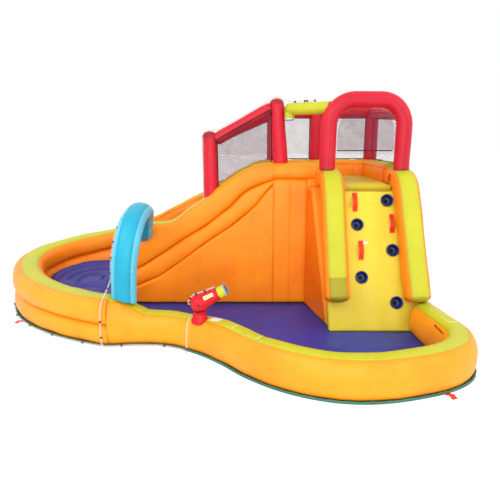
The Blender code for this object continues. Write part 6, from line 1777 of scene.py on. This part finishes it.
def make_sleeve():
    """The blower's sleeve: a soft open pipe of wall cloth with gathered folds, a hem and a tie cord."""
    start = BACK_Y + WALL_THICK / 2 - 0.006
    y = np.linspace(start, SLEEVE_END_Y - 0.001, 44)
    line = points_of(SLEEVE_X, y, SLEEVE_Z)
    share = (y - start) / (y[-1] - start) - SLEEVE_TIE
    pinch = 1 - 0.06 * np.exp(-((share / 0.05) ** 2))
    folds = 0.0022 * np.sin(round_turn(64) * 9) * (0.3 + np.exp(-((share / 0.2) ** 2)))[:, None]
    outer = round_rings(line, (SLEEVE_RADIUS - 0.002) * pinch, 64)
    inner = round_rings(line, (SLEEVE_RADIUS - 0.0055) * pinch, 64)
    creases = unit(outer - line[:, None, :]) * folds[:, :, None]
    outer, inner = outer + creases, inner + creases
    run = np.concatenate([y, y[::-1], [start]])
    seam = np.broadcast_to(np.abs(run - y[-1] + 0.02)[:, None], (len(run), 64))
    sleeve = skin_piece("blower_sleeve", "orange", np.concatenate([outer, inner[::-1], outer[:1]]), seam)
    fit(sleeve, nodes="air_sleeve")
    turn = np.linspace(0, 2 * math.pi, 60)
    tie_y = start + SLEEVE_TIE * (y[-1] - start) + 0.002 * np.sin(3 * turn)
    loop = points_of(SLEEVE_X + TIE_RADIUS * np.cos(turn), tie_y, SLEEVE_Z + TIE_RADIUS * np.sin(turn))
    rings = round_rings(loop, TIE_CORD_RADIUS, 10)
    rings[-1] = rings[0]
    fit(skin_piece("sleeve_tie", "binding", rings, 0.02, merge=2e-4))


def make_zip():
    """The deflation zip on the right rim's pool side: a woven tape, two rows of teeth and a slider."""
    lo, hi = (np.array(corner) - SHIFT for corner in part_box("zip_slider"))
    face = hi[0] + 0.0005
    z = np.linspace(ZIP_Z - ZIP_TAPE / 2, ZIP_Z + ZIP_TAPE / 2, 10)
    grid = points_of(face + 0.001, np.linspace(*ZIP_Y, 60)[:, None], z)
    tape = slab_of("tape", grid, ALONG_X, 0.0016, "thread")
    square = [(-1, -1), (1, -1), (1, 1), (-1, 1)]
    box = np.array([(x, y, z) for z in (-1, 1) for x, y in square])
    quads = np.array([(0, 3, 2, 1), (4, 5, 6, 7), (0, 1, 5, 4), (1, 2, 6, 5), (2, 3, 7, 6), (3, 0, 4, 7)])
    at = np.arange(ZIP_Y[0] + 0.006, ZIP_Y[1] - 0.004, 0.0032)
    count = np.arange(len(at))
    centres = points_of(face - 0.0002, at, ZIP_Z + 0.0011 * np.where(count % 2, 1, -1))
    verts = centres[:, None, :] + box * (0.0008, 0.0011, 0.0019)
    faces = (quads + 8 * count[:, None, None]).reshape(-1, 4)
    teeth = mesh_piece("teeth", verts, faces, "black", smooth=False, merge=0)
    fit(merged("zip_tape_and_teeth", [tape, teeth]))
    middle, half = (lo + hi) / 2, (hi - lo) / 2
    turn = round_turn(32)
    width = squared(np.cos(turn), 0.5) * half[1] * (0.9 + 0.1 * np.cos(turn))
    x, size = np.array([
        (-1.0, 0.55), (-0.96, 0.7), (-0.7, 0.82), (-0.3, 0.88), (0.1, 0.98), (0.9, 1.0), (1.0, 0.94),
    ]).T[:, :, None]
    rings = middle + points_of(x * half[0], width * size, squared(np.sin(turn), 0.5) * half[2] * size)
    runner = skin_piece("zip_runner_body", "black", closed_ends(rings, rows=2))
    fit(runner, "zip_runner", "zip_slider")


def on_rim(share, across):
    """A point on the right rim's crown: the share of its length, and how far across from -1 to 1."""
    i = int(share * (len(RIGHT) - 1))
    out, up = tube_shape(np.radians(np.arange(0, 360)))
    k = int(np.argmin(np.abs(out[10:171] - across))) + 10
    at = RIGHT[i] + RIGHT_SIDES[i] * out[k] * right_widths()[i] / 2
    return np.array([*at, BASE + up[k] * (right_tops()[i] - BASE)])


def rim_field(first, last, inner, outer, finish):
    """A thin printed or sewn field on the right rim, between shares of its length and places across it."""
    shares, places = np.linspace(first, last, 40), np.linspace(inner, outer, 12)
    grid = np.array([[on_rim(share, place) for place in places] for share in shares])
    return slab_of("label", grid + UPRIGHT * LABEL_LIFT, UPRIGHT, LABEL_THICK, finish)


def make_labels():
    """Plain sewn labels: a white tag on the climbing face and on the rim, and bare outlines on the rim."""
    u = np.linspace(TAG_X - 0.027, TAG_X + 0.027, 12)[:, None]
    v = np.linspace(TAG_Z - 0.012, TAG_Z + 0.012, 8)
    face = points_of(u, slope_y(v), v) + SLOPE_OUT * 0.0015
    parts = [slab_of("tag", face, SLOPE_OUT, LABEL_THICK, "white")]
    for first, last in ((0.262, 0.290), (0.297, 0.330), (0.338, 0.366), (0.83, 0.905)):
        for field in (
            (first, last, -0.34, -0.30), (first, last, 0.22, 0.26), (first, first + LABEL_LINE, -0.34, 0.26),
            (last - LABEL_LINE, last, -0.34, 0.26),
        ):
            parts.append(rim_field(*field, "label"))
    parts.append(rim_field(0.232, 0.256, -0.30, 0.30, "white"))
    fit(merged("sewn_labels", parts))


# Stage
FLOOR_HALF, FLOOR_Z = 60.0, -0.0005
CAMERA_AT, SENSOR_WIDTH = (0.54, -5.03, 1.957), 36.0
LAMPS = {
    "key lamp": ((-4.5, -6.5, 7.0), (0.2, 0.0, 0.6), 4.0, 1.0),
    "fill lamp": ((6.5, -5.0, 5.0), (0.2, 0.0, 0.6), 5.0, 0.35),
    "front lamp": ((0.8, -8.5, 2.2), (0.2, 0.0, 0.7), 5.0, 0.8),
}


def ray_is(w, *kinds):
    """Whether a ray is of one of the kinds given."""
    rays = w.node("LightPath").outputs
    seen = rays[f"Is {kinds[0]} Ray"]
    for kind in kinds[1:]:
        seen = w.math("MAXIMUM", seen, rays[f"Is {kind} Ray"])
    return seen


def first_of(tree, kind):
    """The tree's first node of a kind."""
    return next(n for n in tree.nodes if n.type == kind)


def make_floor(values):
    """A wide floor that lights the part as matt white, and that shows white with a soft shadow."""
    mesh = bpy.data.meshes.new("studio_floor")
    corners = [(-1, -1), (1, -1), (1, 1), (-1, 1)]
    mesh.from_pydata([(x * FLOOR_HALF, y * FLOOR_HALF, FLOOR_Z) for x, y in corners], [], [(0, 1, 2, 3)])
    material = bpy.data.materials.new("studio white")
    material.use_nodes = True
    tree = material.node_tree
    w = Wiring(tree)
    shader = tree.nodes["Principled BSDF"]
    w.put_all(shader.inputs, {"Base Color": (0.86, 0.86, 0.87, 1), "Roughness": 0.9})
    shade, glow = w.node("BsdfDiffuse"), w.node("Emission")
    shown, blend = w.node("AddShader"), w.node("MixShader")
    w.put(shade.inputs["Color"], (values.floor_shade,) * 3 + (1,))
    w.put(glow.inputs["Strength"], values.floor_glow)
    w.put_all(shown.inputs, {0: glow.outputs[0], 1: shade.outputs[0]})
    w.put_all(blend.inputs, {0: ray_is(w, "Camera", "Glossy"), 1: shader.outputs[0], 2: shown.outputs[0]})
    w.put(first_of(tree, "OUTPUT_MATERIAL").inputs["Surface"], blend.outputs[0])
    mesh.materials.append(material)
    placed("studio_floor", mesh)


def make_world(values):
    """An even white world, seen at full white and shining at the strength that is set."""
    world = bpy.data.worlds.new("studio world")
    bpy.context.scene.world = world
    world.use_nodes = True
    w = Wiring(world.node_tree)
    seen = ray_is(w, "Camera", "Glossy", "Transmission")
    low = values.world_light
    strength = w.add(low, w.times(seen, 1.0 - low))
    w.put_all(first_of(world.node_tree, "BACKGROUND").inputs, {"Color": (1, 1, 1, 1), "Strength": strength})


def make_lamps(values):
    """Three large soft lamps: the key lamp and two weaker ones, as shares of its power."""
    for name, (at, aim, size, share) in LAMPS.items():
        light = bpy.data.lights.new(name, "AREA")
        light.shape, light.size, light.energy = "DISK", size, values.key_power * share
        lamp = placed(name, light)
        lamp.location = at
        lamp.rotation_euler = (Vector(aim) - Vector(at)).to_track_quat("-Z", "Y").to_euler()


def make_camera(values):
    """The photo's camera, moved with the packed frame."""
    data = bpy.data.cameras.new("photo camera")
    data.sensor_width, data.lens = SENSOR_WIDTH, values.lens
    camera = placed("photo camera", data)
    camera.location = SHIFT + CAMERA_AT
    camera.rotation_euler = (math.radians(90) - values.pitch, 0.0, 0.0)
    bpy.context.scene.camera = camera
    bpy.context.scene.view_settings.view_transform = "Standard"


# Add-on
class RiverStageSettings(bpy.types.PropertyGroup):
    """Light and camera."""

    world_light: bpy.props.FloatProperty(
        name="World light", description="Strength of the even light", default=1.2, min=0,
    )
    key_power: bpy.props.FloatProperty(
        name="Key lamp", description="Power of the soft key lamp", default=240, unit="POWER",
    )
    floor_glow: bpy.props.FloatProperty(
        name="Floor white", description="White that the floor shows of itself", default=0.88,
        subtype="FACTOR", min=0, max=1,
    )
    floor_shade: bpy.props.FloatProperty(
        name="Floor shade", description="How strongly the floor shows light and shadow", default=0.22,
        subtype="FACTOR", min=0, max=1,
    )
    lens: bpy.props.FloatProperty(
        name="Lens", description="Focal length of the photo's view, in millimetres", default=33.48,
    )
    pitch: bpy.props.FloatProperty(
        name="Pitch", description="How far the camera looks down", default=math.radians(13.37),
        subtype="ANGLE",
    )


def operator(label, text, *builders):
    """An operator class for a group of like pieces."""

    def execute(self, context):
        for build in builders:
            build()
        return {"FINISHED"}

    name = label.lower().replace(" ", "_")
    return type("RIVER_OT_" + name, (bpy.types.Operator,), {
        "bl_idname": "river." + name, "bl_label": label, "__doc__": text, "execute": execute,
    })


class RIVER_OT_stage(bpy.types.Operator):
    """Makes the floor, the light and the camera"""

    bl_idname = "river.stage"
    bl_label = "Stage"

    def execute(self, context):
        for build in (make_floor, make_world, make_lamps, make_camera):
            build(context.scene.river_stage)
        return {"FINISHED"}


PIECE_OPERATORS = [
    operator("Pool Walls", "Builds the pool walls and the right rim", make_left_walls, make_right_rim),
    operator("Tower Walls", "Builds the back, slide, front and right walls",
             make_back_wall, make_slide_wall, make_tower_front, make_right_wall),
    operator("Climbing Wall", "Builds the climbing face, its flanks and its bolsters",
             make_climb_sides, make_climb_panel, make_bolsters),
    operator("Holds", "Builds the footholds and the handles", make_footholds, make_handles),
    operator("Red Frame", "Builds the posts, the rails and the door arch",
             make_posts_and_rails, make_door_arch),
    operator("Nets", "Builds the net panels and the curtain", make_nets, make_curtain),
    operator("Slide and Deck", "Builds the slide bed, the deck and its web", make_slide_bed, make_deck),
    operator("Floors", "Builds the ground sheet, the wading floor and the cushion",
             make_ground_sheet, make_river_floor, make_landing_cushion),
    operator("Sprayers", "Builds the spray arch and the sprayer arm", make_spray_arch, make_sprayer),
    operator("Cannon", "Builds the water cannon", make_cannon_base, make_cannon_gun),
    operator("Water Tubes", "Builds the water tubes and their clips", make_tubes),
    operator("Fittings", "Builds the coupling, the sleeve, the zip and the labels",
             make_coupling, make_sleeve, make_zip, make_labels),
]


class RIVER_PT_dresser(bpy.types.Panel):
    """Lists the lazy river's pieces."""

    bl_label = "Lazy River"
    bl_idname = "RIVER_PT_dresser"
    bl_space_type = "VIEW_3D"
    bl_region_type = "UI"
    bl_category = "Lazy River"

    def draw(self, context):
        for made in (*PIECE_OPERATORS, RIVER_OT_stage):
            self.layout.operator(made.bl_idname)
        for name in ("world_light", "key_power", "floor_glow", "floor_shade", "lens", "pitch"):
            self.layout.prop(context.scene.river_stage, name)


CLASSES = (RiverStageSettings, *PIECE_OPERATORS, RIVER_OT_stage, RIVER_PT_dresser)


def register():
    for cls in CLASSES:
        bpy.utils.register_class(cls)
    bpy.types.Scene.river_stage = bpy.props.PointerProperty(type=RiverStageSettings)


def unregister():
    del bpy.types.Scene.river_stage
    for cls in reversed(CLASSES):
        bpy.utils.unregister_class(cls)


def main():
    register()
    bpy.ops.river.stage()
    for made in PIECE_OPERATORS:
        getattr(bpy.ops.river, made.bl_idname.split(".")[1])()
    bpy.context.view_layer.update()


if __name__ == "__main__":
    main()
